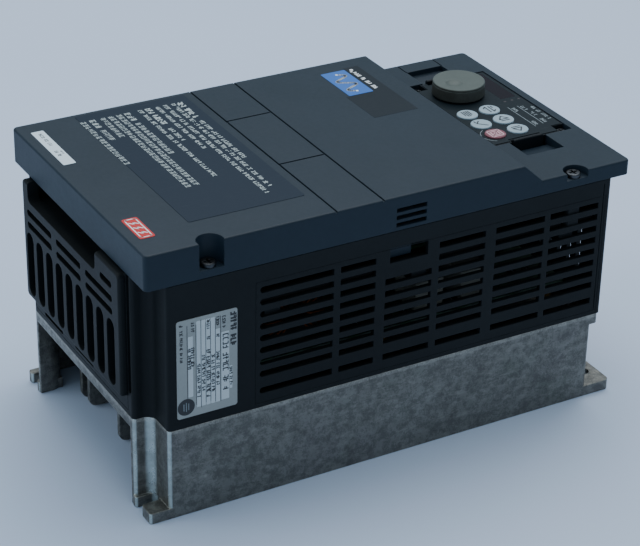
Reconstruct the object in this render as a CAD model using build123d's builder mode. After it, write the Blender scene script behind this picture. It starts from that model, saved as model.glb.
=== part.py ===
"""Variable frequency drive, lying on its back: heatsink below, front cover and operation panel on top.

X runs across the drive, Y along it towards the operation panel, Z out of the mounting wall.
The origin is in the middle of the footprint, on the mounting face. Sizes are in millimetres.
"""

import os

from build123d import *

os.makedirs("parts", exist_ok=True)

BASE = (Align.CENTER, Align.CENTER, Align.MIN)
HANG = (Align.CENTER, Align.CENTER, Align.MAX)

# ---------------------------------------------------------------- overall sizes
body_width = 150.0
body_length = 260.0
body_height = 140.0
half_width = body_width / 2
half_length = body_length / 2
shell_wall = 2.5

# ---------------------------------------------------------------- heatsink
sink_height = 47.5
sink_plate = 5.5
sink_wall = 3.5
end_setback = 0.4
upper_sink_setback = 15.0
upper_flange_setback = 11.0
step_width = 17.0
step_depth = 9.6
step_radius = 5.0
corner_radius = 2.0
fin_count = 14
fin_pitch = 9.0
fin_thickness = 2.4
fin_foot_gap = 0.6
fin_corner = 4.0
fin_low_setback = 32.0
long_fin_setback = 16.5
long_fins = (2, 3, 7)
foot_thickness = 5.5
foot_corner = 2.5
foot_hole_radius = 3.0
foot_hole_spacing = 125.0
foot_hole_setback = 7.5
foot_inner_width = 7.0
left_foot_outer_setback = 5.0
upper_foot_inner_width = 10.5

# ---------------------------------------------------------------- case and cover
case_end_setback = 10.0
cover_height = 17.4
parting_gap = 0.3
ledge_width = 9.0
ledge_thickness = 2.5
joint_line_setback = 4.5
joint_line_width = 0.6
joint_line_depth = 0.4
cover_low_drop = 9.7
cover_edge_round = 1.0
cover_corner = 2.5
slope_run = 10.5
hook_length = 12.0
hook_reach = 5.6
hook_thickness = 2.5
hook_clearance = 0.3
hook_ys = (-75.0, 45.0)
groove_width = 1.0
groove_depth = 0.8
groove_ys = (-34.5, -9.7)
short_groove_xs = (-34.0, 20.0)
louvre_height = 2.2
louvre_pitch = 3.75
louvre_count = 3
louvre_start = -2.6
louvre_length = 16.3

# ---------------------------------------------------------------- side vents
vent_height = 3.2
vent_pitch = 6.3
vent_rows = 8
vent_top_drop = 13.0
vent_bottom_rise = 8.8
# Start above the lower end of the case, and length, of each column of slots.
vent_columns = ((58.3, 36.7), (98.5, 18.8), (122.6, 25.4), (151.8, 25.8), (183.5, 28.0), (214.7, 28.2))
window_column = 2
rows_left_out_at_window = 2
window_height = 7.8
window_length = 20.7
window_start = 124.7
window_drop = 8.3
outlet_width = 3.4
outlet_pitch = 8.0
outlet_count = 15
outlet_height = 42.0

# ---------------------------------------------------------------- wiring cover
comb_left_setback = 2.5
comb_right_setback = 5.0
comb_plate = 2.5
comb_proud = 3.4
comb_round = 1.4
comb_fit = 0.3
comb_floor = 2.5
comb_pad_rise = 9.7
comb_top_drop = 1.2
comb_slot_count = 9
comb_slot_pitch = 11.7
comb_slot_width = 8.2
comb_slot_middle = -3.6
comb_slot_low = 12.2
comb_slot_high = 46.8
comb_row_height = 3.4
comb_row_levels = (51.3, 57.8)
comb_row_spans = ((-52.5, -23.0), (-17.5, 10.8), (16.2, 45.8))
cable_window_left = -51.0
cable_window_right = 27.6
cable_window_sill = 63.8
cable_sill_depth = 6.5
cable_sill_thickness = 2.0
side_slot_span = (33.0, 45.5)
finger_hole_span = (-7.0, 14.0)
finger_hole_rise = 4.5
finger_hole_height = 4.9
bottom_slit_span = (-44.0, -22.0)
bottom_slit_height = 1.8
channel_width = 3.0
channel_depth = 1.4

# ---------------------------------------------------------------- screws and bores
m4_radius = 2.0
m4_head_radius = 3.6
m4_head_height = 2.6
m3_radius = 1.5
m3_head_radius = 2.7
m3_head_height = 2.0
thread_clearance = 0.06
base_screw_depth = 4.4
cover_screw_head_radius = 3.6
cover_screw_head_height = 2.2
cover_screw_radius = 1.6
cover_screw_clearance = 0.5
cover_screw_length = 12.5
cover_screw_side_setback = 4.0
cover_screw_lower_y = -97.5
cover_screw_upper_y = 99.0
screw_well_radius = 6.4
screw_well_wall = 1.8
screw_well_side_setback = 1.8
screw_well_floor = 3.9
insert_wall = 0.9
insert_height = 9.0

# ---------------------------------------------------------------- boards inside
board_thickness = 1.6
standoff_height = 14.5
standoff_radius = 3.0
power_board_side_setback = 13.0
power_board_low_setback = 22.0
power_board_high_setback = 24.0
standoff_side_setback = 17.0
standoff_ys = (-80.0, 2.0, 98.0)
carrier_drop = 21.8
carrier_thickness = 2.5
carrier_post = 1.0
carrier_low_setback = 48.0
carrier_high_setback = 16.0
carrier_ledge_depth = 6.0
control_board_side_setback = 11.0
tall_part_clearance = 0.9
capacitor_radius = 12.0
capacitor_places = ((-40.0, 78.0), (-12.0, 78.0), (16.0, 78.0), (-40.0, 50.0))
module_size = (62.0, 60.0, 11.0)
module_place = (0.0, 5.0)
choke_radius = 15.5
choke_hole_radius = 7.0
choke_width = 12.0
choke_place = (52.0, -46.0)
transformer_place = (-40.0, -46.0)
relay_places = ((46.0, 30.0), (46.0, 56.0))
relay_size = (20.0, 16.0, 15.5)
sensor_places = ((-45.0, -14.0), (-45.0, 8.0))
sensor_size = (12.0, 18.0, 16.0)
terminal_count = 11
terminal_pitch = 10.0
terminal_depth = 20.0
terminal_height = 16.4
barrier_height = 5.6
barrier_thickness = 1.4
terminal_plate_thickness = 0.8
earth_screw_xs = (24.0, 37.0)
control_terminal_count = 12
control_terminal_pitch = 7.0
control_terminal_depth = 18.0
control_terminal_height = 9.0

# ---------------------------------------------------------------- operation panel
panel_width = 80.0
panel_length = 45.6
panel_middle_x = -8.0
panel_end_setback = 5.4
panel_fit = 0.5
panel_depth = 15.5
panel_wall = 1.4
panel_back_thickness = 1.5
panel_face_thickness = 0.3
pocket_wall = 1.6
pocket_lip = 2.2
pocket_lip_thickness = 1.5
recess_length = 21.6
recess_reach = 16.5
recess_depth = 8.6
recess_ramp_depth = 4.9
recess_end_depth = 2.8
recess_slot_reach = 2.0
recess_wall = 1.5
recess_middle_from_panel = 19.5
latch_thickness = 2.0
latch_stand_off = 0.6
latch_travel = 1.0
latch_slot_clearance = 0.3
latch_bar_length = 17.0
latch_rise = 1.3
panel_screw_inset = 3.4
panel_screw_well = 3.3
panel_notch_overrun = 2.0
panel_notch_wall = 1.0
panel_notch_depth = 3.2
panel_screw_head_radius = 2.4
panel_screw_head_height = 1.8
panel_screw_radius = 1.3
key_radius = 5.4
key_clearance = 0.25
key_rise = 0.7
key_flange = 0.75
key_flange_thickness = 0.6
key_travel = 0.5
key_column_x = -4.5
key_pitch_x = 12.8
key_row_y = 8.0
key_pitch_y = 13.3
dial_x = -28.8
dial_y_from_edge = 18.0
dial_radius = 13.6
dial_height = 7.1
dial_gap = 0.9
dial_dimple_radius = 4.5
dial_dimple_depth = 1.3
dial_dimple_x = 2.3
dial_dimple_y = -4.4
shaft_radius = 3.2
shaft_clearance = 0.05
shaft_grip = 3.8
push_plate_thickness = 1.0
dial_travel = 0.5
encoder_size = 12.6
display_span_x = (-45.5, -13.5)
display_span_y = (34.4, 43.2)
display_glass = 1.3
lamp_radius = 0.8
lamp_x = -10.2
lamp_ys = (34.6, 38.8, 43.0)
plug_size = (18.0, 8.0)
plug_place = (-10.0, 21.0)
plug_drop = 5.7
socket_clearance = 0.9
socket_wall = 1.5

# ---------------------------------------------------------------- labels
label_thickness = 0.15
plate_thickness = 0.3
rating_plate_span_y = (-115.5, -85.0)
rating_plate_span_z = (5.5, 56.5)
warning_span = ((-72.0, 54.0), (-98.5, -39.2))
serial_span = ((-64.5, -24.6), (-124.5, -118.2))
voltage_span = ((38.6, 59.0), (-124.5, -116.8))
badge_span = ((-63.0, -33.0), (34.5, 48.5))

# ---------------------------------------------------------------- levels and edges worked out once
case_z = sink_height
case_height = body_height - cover_height - parting_gap - sink_height
case_top = case_z + case_height
cover_z = case_top + parting_gap
cover_top = body_height
cover_low_top = cover_top - cover_low_drop
case_low_y = -half_length + end_setback
case_high_y = half_length - case_end_setback
step_x = half_width - step_width
power_board_z = sink_height + standoff_height
power_top = power_board_z + board_thickness
carrier_z = case_top - carrier_drop
control_board_z = carrier_z + carrier_thickness + carrier_post
control_top = control_board_z + board_thickness
tall_part = carrier_z - power_top - tall_part_clearance
panel_x0 = panel_middle_x - panel_width / 2
panel_x1 = panel_middle_x + panel_width / 2
panel_y1 = half_length - panel_end_setback
panel_y0 = panel_y1 - panel_length
panel_x = (panel_x0 + panel_x1) / 2
panel_y = (panel_y0 + panel_y1) / 2
panel_top = cover_low_top
panel_case_top = panel_top - panel_face_thickness
panel_z = panel_top - panel_depth
panel_board_z = panel_z + 6.0
panel_board_top = panel_board_z + board_thickness
slope_end_y = panel_y0 - 0.6
ridge_y = slope_end_y - slope_run
cover_screw_x = half_width - cover_screw_side_setback
cover_screw_seat = cover_z + screw_well_floor
cover_screw_places = ((cover_screw_x, cover_screw_lower_y), (cover_screw_x, cover_screw_upper_y))
foot_x = foot_hole_spacing / 2
foot_y = half_length - foot_hole_setback
base_screw_x = half_width - shell_wall - ledge_width / 2 - 0.4
base_screw_places = [(side * base_screw_x, y) for side in (-1, 1) for y in (-104.0, 4.0, 108.0)]
standoff_x = half_width - standoff_side_setback
standoff_places = [(side * standoff_x, y) for side in (-1, 1) for y in standoff_ys]
module_x, module_y = module_place
module_screw_places = [(module_x + side * (module_size[0] / 2 + 5), module_y) for side in (-1, 1)]
earth_screw_y = case_low_y + shell_wall + ledge_width + m4_head_radius + 0.9
earth_screw_places = [(x, earth_screw_y) for x in earth_screw_xs]
control_board_x = half_width - control_board_side_setback
control_board_low_y = -half_length + carrier_low_setback + 1.0
control_board_high_y = half_length - carrier_high_setback - 2.0
control_screw_places = [
    (side * (control_board_x - 5), y)
    for side in (-1, 1)
    for y in (control_board_low_y + 26, control_board_high_y - 5)
]
dial_y = panel_y0 + dial_y_from_edge
dial_z = panel_top + dial_gap
recess_y = panel_y0 + recess_middle_from_panel
recess_floor_z = cover_low_top - recess_depth
latch_z = recess_floor_z + 0.7
panel_screw_places = (
    (panel_x0 + panel_screw_inset, panel_y0 + panel_screw_inset),
    (panel_x1 - panel_screw_inset, panel_y1 - panel_screw_inset),
)
key_places = {
    "mode_key": (key_column_x, panel_y0 + key_row_y),
    "source_key": (key_column_x, panel_y0 + key_row_y + key_pitch_y),
    "set_key": (key_column_x + key_pitch_x, panel_y0 + key_row_y),
    "reverse_key": (key_column_x + key_pitch_x, panel_y0 + key_row_y + key_pitch_y),
    "stop_key": (key_column_x + 2 * key_pitch_x, panel_y0 + key_row_y),
    "forward_key": (key_column_x + 2 * key_pitch_x, panel_y0 + key_row_y + key_pitch_y),
}


def housing_outline(high_y, inset=0.0):
    """Plan of the housing: a rectangle with a rounded step at each lower corner, shrunk by inset."""
    low_y = case_low_y + inset
    top_y = high_y - inset
    side_x = half_width - inset
    inner_x = step_x - inset
    inner_y = case_low_y + step_depth + inset
    with BuildSketch() as outline:
        with Locations((0, (low_y + top_y) / 2)):
            Rectangle(2 * side_x, top_y - low_y)
        with Locations((inner_x, low_y)):
            Rectangle(step_width + 1, inner_y - low_y, align=(Align.MIN, Align.MIN), mode=Mode.SUBTRACT)
        with Locations((-inner_x, low_y)):
            Rectangle(step_width + 1, inner_y - low_y, align=(Align.MAX, Align.MIN), mode=Mode.SUBTRACT)
        corners = outline.vertices()
        hollows = corners.filter_by(lambda v: abs(v.Y - inner_y) < 0.01 and abs(v.X) < inner_x + 0.01)
        fillet(hollows, min(step_radius + inset, step_depth - corner_radius - 0.5))
        rims = outline.vertices().filter_by(lambda v: abs(abs(v.X) - side_x) < 0.01 or abs(v.Y - low_y) < 0.01)
        fillet(rims, max(corner_radius - inset, 0.4))
    return outline.sketch


def span_box(x_span, y_span, z_span):
    """A plain box between its low and high corners, made apart from any part in progress."""
    (x0, x1), (y0, y1), (z0, z1) = x_span, y_span, z_span
    middle = Pos((x0 + x1) / 2, (y0 + y1) / 2, (z0 + z1) / 2)
    return middle * Box(x1 - x0, y1 - y0, z1 - z0, mode=Mode.PRIVATE)


def cross_screw(head_radius, head_height, shank_radius, shank_length):
    """A pan-head screw with a cross recess: its head stands on z = 0 and its shank hangs below."""
    with BuildPart() as screw:
        Cylinder(head_radius, head_height, align=BASE)
        fillet(screw.faces().sort_by(Axis.Z)[-1].edges(), head_height * 0.35)
        with Locations((0, 0, head_height)):
            Box(head_radius * 1.3, head_radius * 0.3, head_height, mode=Mode.SUBTRACT)
            Box(head_radius * 0.3, head_radius * 1.3, head_height, mode=Mode.SUBTRACT)
        Cylinder(shank_radius, shank_length, align=HANG)
    return screw.part


def save(builder, name):
    """Label one finished piece and write it to its own file."""
    builder.part.label = name
    export_step(builder.part, f"parts/{name}.step")


# ================================================================ heatsink
upper_sink_y = half_length - upper_sink_setback
upper_flange_y = half_length - upper_flange_setback
sink_open_x = step_x - sink_wall
sink_room_x = half_width - sink_wall
sink_cavity = sink_height - sink_plate

with BuildPart() as heatsink_base:
    with BuildSketch():
        add(housing_outline(upper_sink_y))
    extrude(amount=sink_height)
    with BuildSketch(Plane.XY.offset(sink_cavity)):
        add(housing_outline(upper_flange_y))
    extrude(amount=sink_plate)
    # The underside is one air channel, open at both ends.
    with BuildSketch():
        add(housing_outline(upper_sink_y, sink_wall))
        with Locations((0, case_low_y)):
            Rectangle(2 * sink_open_x, 2 * (step_depth + step_radius + sink_wall))
        with Locations((0, upper_sink_y)):
            Rectangle(2 * sink_room_x, 4 * sink_wall)
    extrude(amount=sink_cavity, mode=Mode.SUBTRACT)
    # Fins run the length of the channel; a few of them start nearer the lower end.
    for index in range(fin_count):
        fin_x = (index - (fin_count - 1) / 2) * fin_pitch
        fin_y0 = -half_length + (long_fin_setback if index in long_fins else fin_low_setback)
        fin_y1 = upper_sink_y - 3.0
        with BuildSketch(Plane.YZ.offset(fin_x - fin_thickness / 2)) as fin_side:
            with Locations((fin_y0, fin_foot_gap)):
                Rectangle(fin_y1 - fin_y0, sink_cavity - fin_foot_gap + 0.5, align=(Align.MIN, Align.MIN))
            fillet(fin_side.vertices().group_by(Axis.Y)[0], fin_corner)
        extrude(amount=fin_thickness)
    # Lower feet carry open slots, upper feet carry round holes.
    for side, outer_setback in ((-1, left_foot_outer_setback), (1, 0.0)):
        lower_inner = foot_x - foot_inner_width
        lower_outer = half_width - outer_setback
        with BuildSketch() as lower_foot:
            with Locations((side * (lower_inner + lower_outer) / 2, -half_length)):
                Rectangle(lower_outer - lower_inner, step_depth + 3.0, align=(Align.CENTER, Align.MIN))
            with Locations((side * foot_x, -foot_y)):
                Circle(foot_hole_radius, mode=Mode.SUBTRACT)
            with Locations((side * foot_x, -foot_y)):
                Rectangle(
                    2 * foot_hole_radius,
                    2 * foot_hole_setback,
                    align=(Align.CENTER, Align.MAX),
                    mode=Mode.SUBTRACT,
                )
            fillet(lower_foot.vertices().group_by(Axis.Y)[0], foot_corner * 0.6)
        extrude(amount=foot_thickness)
        upper_inner = foot_x - upper_foot_inner_width
        with BuildSketch() as upper_foot:
            with Locations((side * (upper_inner + half_width) / 2, half_length)):
                Rectangle(half_width - upper_inner, upper_sink_setback + 3.0, align=(Align.CENTER, Align.MAX))
            fillet(upper_foot.vertices().group_by(Axis.Y)[-1], foot_corner)
            with Locations((side * foot_x, foot_y)):
                Circle(foot_hole_radius, mode=Mode.SUBTRACT)
        extrude(amount=foot_thickness)
    with Locations(*[(side * foot_x, -foot_y, 0) for side in (-1, 1)]):
        Cylinder(foot_hole_radius, foot_thickness, align=BASE, mode=Mode.SUBTRACT)
    tapped_places = base_screw_places + module_screw_places + earth_screw_places
    with Locations(*[(x, y, sink_height) for x, y in tapped_places]):
        Cylinder(m4_radius + thread_clearance, base_screw_depth + 0.5, align=HANG, mode=Mode.SUBTRACT)
save(heatsink_base, "heatsink_base")

# ================================================================ case
ledge_inset = shell_wall + ledge_width
comb_x0 = -step_x + comb_left_setback
comb_x1 = step_x - comb_right_setback
vent_top_z = case_top - vent_top_drop
row_levels = [vent_top_z - vent_pitch * row for row in range(vent_rows)] + [case_z + vent_bottom_rise]
insert_radius = cover_screw_radius + cover_screw_clearance + insert_wall
boss_radius = insert_radius + 1.4

with BuildPart() as case_body:
    with BuildSketch(Plane.XY.offset(case_z)):
        add(housing_outline(case_high_y))
    extrude(amount=case_height)
    with BuildSketch(Plane.XY.offset(case_z + ledge_thickness)):
        add(housing_outline(case_high_y, shell_wall))
    extrude(amount=case_height, mode=Mode.SUBTRACT)
    with BuildSketch(Plane.XY.offset(case_z)):
        add(housing_outline(case_high_y, ledge_inset))
    extrude(amount=ledge_thickness, mode=Mode.SUBTRACT)
    # The lower end is open for the wiring cover, with a hollow channel beside it.
    add(
        span_box((comb_x0, comb_x1), (case_low_y - 1, case_low_y + 8), (case_z + comb_floor, case_top + 1)),
        mode=Mode.SUBTRACT,
    )
    channel_x = comb_x1 + 0.6 + channel_width / 2
    with BuildSketch(Plane.XZ.offset(-case_low_y)):
        with Locations((channel_x, case_z + 13 + channel_width / 2)):
            Circle(channel_width / 2)
            Rectangle(channel_width, case_height, align=(Align.CENTER, Align.MIN))
    extrude(amount=-channel_depth, mode=Mode.SUBTRACT)
    # Slots in both long sides: the first column starts round, and a window interrupts the third.
    for side in (-1, 1):
        with BuildSketch(Plane.YZ.offset(side * half_width)):
            for column, (start, run) in enumerate(vent_columns):
                column_y = -half_length + start
                levels = row_levels[rows_left_out_at_window:] if column == window_column else row_levels
                with Locations(*[(column_y, level) for level in levels]):
                    if column == 0:
                        Circle(vent_height / 2)
                    Rectangle(run, vent_height, align=(Align.MIN, Align.CENTER))
        extrude(amount=-side * (shell_wall + 1), mode=Mode.SUBTRACT)
    with BuildSketch(Plane.YZ.offset(half_width)):
        with Locations((-half_length + window_start, case_top - window_drop)):
            Rectangle(window_length, window_height, align=(Align.MIN, Align.MAX))
    extrude(amount=-(shell_wall + 1), mode=Mode.SUBTRACT)
    # Air leaves through upright slots in the upper end.
    with BuildSketch(Plane.XZ.offset(-case_high_y)):
        with Locations((0, (case_z + case_top) / 2)):
            with GridLocations(outlet_pitch, 1, outlet_count, 1):
                SlotOverall(outlet_height, outlet_width, rotation=90)
    extrude(amount=shell_wall + 1, both=True, mode=Mode.SUBTRACT)
    # Bosses for the two cover screws, and ledges for the board carrier.
    with BuildSketch(Plane.XY.offset(carrier_z)):
        with Locations(*cover_screw_places):
            Circle(boss_radius)
        with Locations((half_width - 0.8, 0)):
            Rectangle(body_width, body_length, align=(Align.MAX, Align.CENTER), mode=Mode.INTERSECT)
    extrude(amount=case_top - carrier_z)
    with Locations(*[(x, y, case_top) for x, y in cover_screw_places]):
        Cylinder(insert_radius, insert_height, align=HANG, mode=Mode.SUBTRACT)
    ledge_x = half_width - shell_wall - carrier_ledge_depth / 2
    with Locations(*[(side * ledge_x, y, carrier_z) for side in (-1, 1) for y in (-66.0, 12.0, 96.0)]):
        Box(carrier_ledge_depth + 1, 8, 8, align=HANG)
    with Locations(*[(x, y, case_z) for x, y in base_screw_places]):
        Cylinder(m4_radius + thread_clearance, ledge_thickness, align=BASE, mode=Mode.SUBTRACT)
    # The upper wall is cut down where the panel's pocket crosses it.
    pocket_room = panel_fit + pocket_wall + 2.0
    add(
        span_box(
            (panel_x0 - pocket_room, panel_x1 + pocket_room),
            (case_high_y - 2 * shell_wall, case_high_y + 1),
            (panel_z - pocket_lip_thickness - 1.0, case_top + 1),
        ),
        mode=Mode.SUBTRACT,
    )
    # A fine joint line runs down each long side near the upper end.
    with Locations(*[(side * half_width, case_high_y - joint_line_setback, case_z + 3.0) for side in (-1, 1)]):
        Box(2 * joint_line_depth, joint_line_width, case_height - 5.0, align=BASE, mode=Mode.SUBTRACT)
save(case_body, "case_body")

with BuildPart() as cover_screw_inserts:
    with Locations(*[(x, y, case_top) for x, y in cover_screw_places]):
        Cylinder(insert_radius, insert_height, align=HANG)
        Cylinder(cover_screw_radius + cover_screw_clearance, insert_height, align=HANG, mode=Mode.SUBTRACT)
save(cover_screw_inserts, "cover_screw_inserts")

base_screw = cross_screw(m4_head_radius, m4_head_height, m4_radius, base_screw_depth + ledge_thickness)
module_screw = cross_screw(m4_head_radius, m4_head_height, m4_radius, base_screw_depth + 3.0)
with BuildPart() as base_screws:
    with Locations(*[(x, y, case_z + ledge_thickness) for x, y in base_screw_places]):
        add(base_screw)
    with Locations(*[(x, y, sink_height + 3.0) for x, y in module_screw_places]):
        add(module_screw)
save(base_screws, "base_screws")

with BuildPart() as rating_plate:
    add(
        span_box(
            (half_width, half_width + plate_thickness),
            rating_plate_span_y,
            (case_z + rating_plate_span_z[0], case_z + rating_plate_span_z[1]),
        )
    )
    fillet(rating_plate.edges().filter_by(Axis.X), 1.2)
save(rating_plate, "rating_plate")

# ================================================================ power stage
with BuildPart() as power_module:
    with Locations((module_x, module_y, sink_height)):
        Box(*module_size, align=BASE)
        with Locations(*[(side * (module_size[0] / 2 + 4.5), 0, 0) for side in (-1, 1)]):
            Box(11, 16, 3.0, align=BASE)
    fillet(power_module.edges().filter_by(Axis.Z), 1.0)
    with Locations(*[(x, y, sink_height) for x, y in module_screw_places]):
        Cylinder(m4_radius + thread_clearance, 3.0, align=BASE, mode=Mode.SUBTRACT)
    pin_row_y = module_size[1] / 2 - 3
    with Locations((module_x, module_y, sink_height + module_size[2])):
        with GridLocations(5.0, 2 * pin_row_y, 11, 2):
            Box(0.8, 0.8, standoff_height - module_size[2], align=BASE)
save(power_module, "power_module")

with BuildPart() as board_standoffs:
    with Locations(*[(x, y, sink_height) for x, y in standoff_places]):
        with BuildSketch(Plane.XY.offset(sink_height)):
            with Locations(*standoff_places):
                RegularPolygon(standoff_radius, 6)
                Circle(m3_radius + thread_clearance, mode=Mode.SUBTRACT)
    extrude(amount=standoff_height)
save(board_standoffs, "board_standoffs")

power_board_x = half_width - power_board_side_setback
power_board_y0 = -half_length + power_board_low_setback
power_board_y1 = half_length - power_board_high_setback
with BuildPart() as power_board:
    add(span_box((-power_board_x, power_board_x), (power_board_y0, power_board_y1), (power_board_z, power_top)))
    fillet(power_board.edges().filter_by(Axis.Z), 2.0)
    with Locations(*[(x, y, power_board_z) for x, y in standoff_places]):
        Cylinder(m3_radius + 0.2, board_thickness, align=BASE, mode=Mode.SUBTRACT)
save(power_board, "power_board")

board_screw = cross_screw(m3_head_radius, m3_head_height, m3_radius, 7.0)
control_screw = cross_screw(m3_head_radius, m3_head_height, m3_radius, board_thickness + carrier_post + 1.5)
with BuildPart() as board_screws:
    with Locations(*[(x, y, power_top) for x, y in standoff_places]):
        add(board_screw)
    with Locations(*[(x, y, control_top) for x, y in control_screw_places]):
        add(control_screw)
save(board_screws, "board_screws")

with BuildPart() as bus_capacitors:
    with Locations(*[(x, y, power_top) for x, y in capacitor_places]):
        Cylinder(capacitor_radius, tall_part, align=BASE)
    fillet(bus_capacitors.faces().group_by(Axis.Z)[-1].edges(), 1.2)
    fillet(bus_capacitors.faces().group_by(Axis.Z)[0].edges(), 1.0)
    # A pressed seam near the foot and a scored vent on the end of each can.
    with Locations(*[(x, y, power_top + 4.0) for x, y in capacitor_places]):
        Torus(capacitor_radius + 0.5, 0.9, mode=Mode.SUBTRACT)
    with Locations(*[(x, y, power_top + tall_part) for x, y in capacitor_places]):
        Box(capacitor_radius * 1.2, 0.5, 0.6, mode=Mode.SUBTRACT)
        Box(0.5, capacitor_radius * 1.2, 0.6, mode=Mode.SUBTRACT)
save(bus_capacitors, "bus_capacitors")

choke_x, choke_y = choke_place
choke_z = power_top + choke_radius + 1.5
with BuildPart() as filter_choke:
    with BuildSketch(Plane.YZ.offset(choke_x - choke_width / 2)):
        with Locations((choke_y, choke_z)):
            Circle(choke_radius)
            Circle(choke_hole_radius, mode=Mode.SUBTRACT)
    extrude(amount=choke_width)
    fillet(filter_choke.edges().filter_by(GeomType.CIRCLE), 2.5)
    with Locations((choke_x, choke_y, power_top)):
        Box(choke_width, 2 * choke_hole_radius, 3.2, align=BASE)
save(filter_choke, "filter_choke")

transformer_x, transformer_y = transformer_place
with BuildPart() as switching_transformer:
    with Locations((transformer_x, transformer_y, power_top)):
        Box(26, 24, 4, align=BASE)
        with Locations((0, 0, 4)):
            Box(24, 18, 18, align=BASE)
            Box(16, 23, 14, align=BASE)
    fillet(switching_transformer.edges().filter_by(Axis.Z), 0.8)
save(switching_transformer, "switching_transformer")

with BuildPart() as relays:
    with Locations(*[(x, y, power_top) for x, y in relay_places]):
        Box(*relay_size, align=BASE)
    fillet(relays.edges().filter_by(Axis.Z), 1.0)
save(relays, "relays")

with BuildPart() as current_sensors:
    with Locations(*[(x, y, power_top) for x, y in sensor_places]):
        Box(*sensor_size, align=BASE)
        with Locations((0, 0, sensor_size[2] * 0.55)):
            Box(sensor_size[0] + 2, sensor_size[1] * 0.5, sensor_size[2] * 0.4, mode=Mode.SUBTRACT)
save(current_sensors, "current_sensors")

# ================================================================ main terminals
block_y0 = power_board_y0 + 1.0
block_y = block_y0 + terminal_depth / 2
block_top = power_top + terminal_height
block_length = terminal_count * terminal_pitch + barrier_thickness
terminal_xs = [(index - (terminal_count - 1) / 2) * terminal_pitch for index in range(terminal_count)]
terminal_screw_y = block_y0 + 6.5
linked = terminal_xs[-3:-1]

with BuildPart() as main_terminal_block:
    with Locations((0, block_y, power_top)):
        Box(block_length, terminal_depth, terminal_height, align=BASE)
        with Locations(*[(x - terminal_pitch / 2, 0, terminal_height) for x in terminal_xs]):
            Box(barrier_thickness, terminal_depth, barrier_height, align=BASE)
        with Locations((terminal_xs[-1] + terminal_pitch / 2, 0, terminal_height)):
            Box(barrier_thickness, terminal_depth, barrier_height, align=BASE)
        with Locations((0, terminal_depth / 2 - 2, terminal_height)):
            Box(block_length, 4, barrier_height, align=BASE)
    with Locations(*[(x, terminal_screw_y, block_top) for x in terminal_xs]):
        Cylinder(m4_radius + thread_clearance, 8.0, align=HANG, mode=Mode.SUBTRACT)
save(main_terminal_block, "main_terminal_block")

with BuildPart() as terminal_plates:
    with Locations(*[(x, terminal_screw_y, block_top) for x in terminal_xs if x not in linked]):
        Box(terminal_pitch - barrier_thickness - 0.4, 11.0, terminal_plate_thickness, align=BASE)
        Cylinder(m4_radius + thread_clearance, terminal_plate_thickness, align=BASE, mode=Mode.SUBTRACT)
save(terminal_plates, "terminal_plates")

# The link joins two neighbouring terminals in front of the barrier between them.
link_front_y = block_y0 - 2.2
link_tab_end_y = terminal_screw_y + 5.5
with BuildPart() as link_bar:
    with BuildSketch(Plane.XY.offset(block_top)):
        with Locations(*[(x, link_tab_end_y) for x in linked]):
            Rectangle(
                terminal_pitch - barrier_thickness - 0.8,
                link_tab_end_y - link_front_y,
                align=(Align.CENTER, Align.MAX),
            )
        with Locations(((linked[0] + linked[1]) / 2, link_front_y)):
            Rectangle(linked[1] - linked[0] + 7.0, 4.0)
        with Locations(*[(x, terminal_screw_y) for x in linked]):
            Circle(m4_radius + thread_clearance, mode=Mode.SUBTRACT)
    extrude(amount=terminal_plate_thickness)
save(link_bar, "link_bar")

terminal_screw = cross_screw(3.4, m4_head_height, m4_radius, 7.5)
earth_screw = cross_screw(m4_head_radius, m4_head_height, m4_radius, base_screw_depth)
with BuildPart() as terminal_screws:
    with Locations(*[(x, terminal_screw_y, block_top + terminal_plate_thickness) for x in terminal_xs]):
        add(terminal_screw)
    with Locations(*[(x, y, sink_height) for x, y in earth_screw_places]):
        add(earth_screw)
save(terminal_screws, "terminal_screws")

lamp_place = (power_board_x - 4.0, block_y0 + terminal_depth + 18.0)
with BuildPart() as charge_lamp:
    with Locations((*lamp_place, power_top)):
        Cylinder(2.9, 1.2, align=BASE)
        Cylinder(2.5, 6.5, align=BASE)
        with Locations((0, 0, 6.5)):
            Sphere(2.5)
save(charge_lamp, "charge_lamp")

# ================================================================ control stage
cable_x, cable_y, cable_width = -56.0, 34.0, 24.0
header_height = 6.5
with BuildPart() as cable_headers:
    with Locations((cable_x, cable_y, power_top)):
        Box(6.0, cable_width + 4, header_height, align=BASE)
    with Locations((cable_x, cable_y, control_board_z)):
        Box(6.0, cable_width + 4, header_height, align=HANG)
save(cable_headers, "cable_headers")

with BuildPart() as flat_cable:
    add(
        span_box(
            (cable_x - 0.5, cable_x + 0.5),
            (cable_y - cable_width / 2, cable_y + cable_width / 2),
            (power_top + header_height, control_board_z - header_height),
        )
    )
save(flat_cable, "flat_cable")

carrier_y0 = -half_length + carrier_low_setback
carrier_y1 = half_length - carrier_high_setback
carrier_x = half_width - shell_wall - 0.8
with BuildPart() as board_carrier:
    add(span_box((-carrier_x, carrier_x), (carrier_y0, carrier_y1), (carrier_z, carrier_z + carrier_thickness)))
    fillet(board_carrier.edges().filter_by(Axis.Z), 3.0)
    with Locations(*[(x, y, carrier_z + carrier_thickness) for x, y in control_screw_places]):
        Cylinder(4.0, carrier_post, align=BASE)
        Cylinder(m3_radius + thread_clearance, 2 * (carrier_post + 1.6), mode=Mode.SUBTRACT)
    with Locations((cable_x, cable_y, carrier_z)):
        Box(8.0, cable_width + 8, 4 * carrier_thickness, mode=Mode.SUBTRACT)
    # Room beside the bosses for the cover screws.
    with Locations((cover_screw_x, cover_screw_upper_y, carrier_z)):
        Cylinder(boss_radius + 1.0, 4 * carrier_thickness, mode=Mode.SUBTRACT)
save(board_carrier, "board_carrier")

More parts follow.
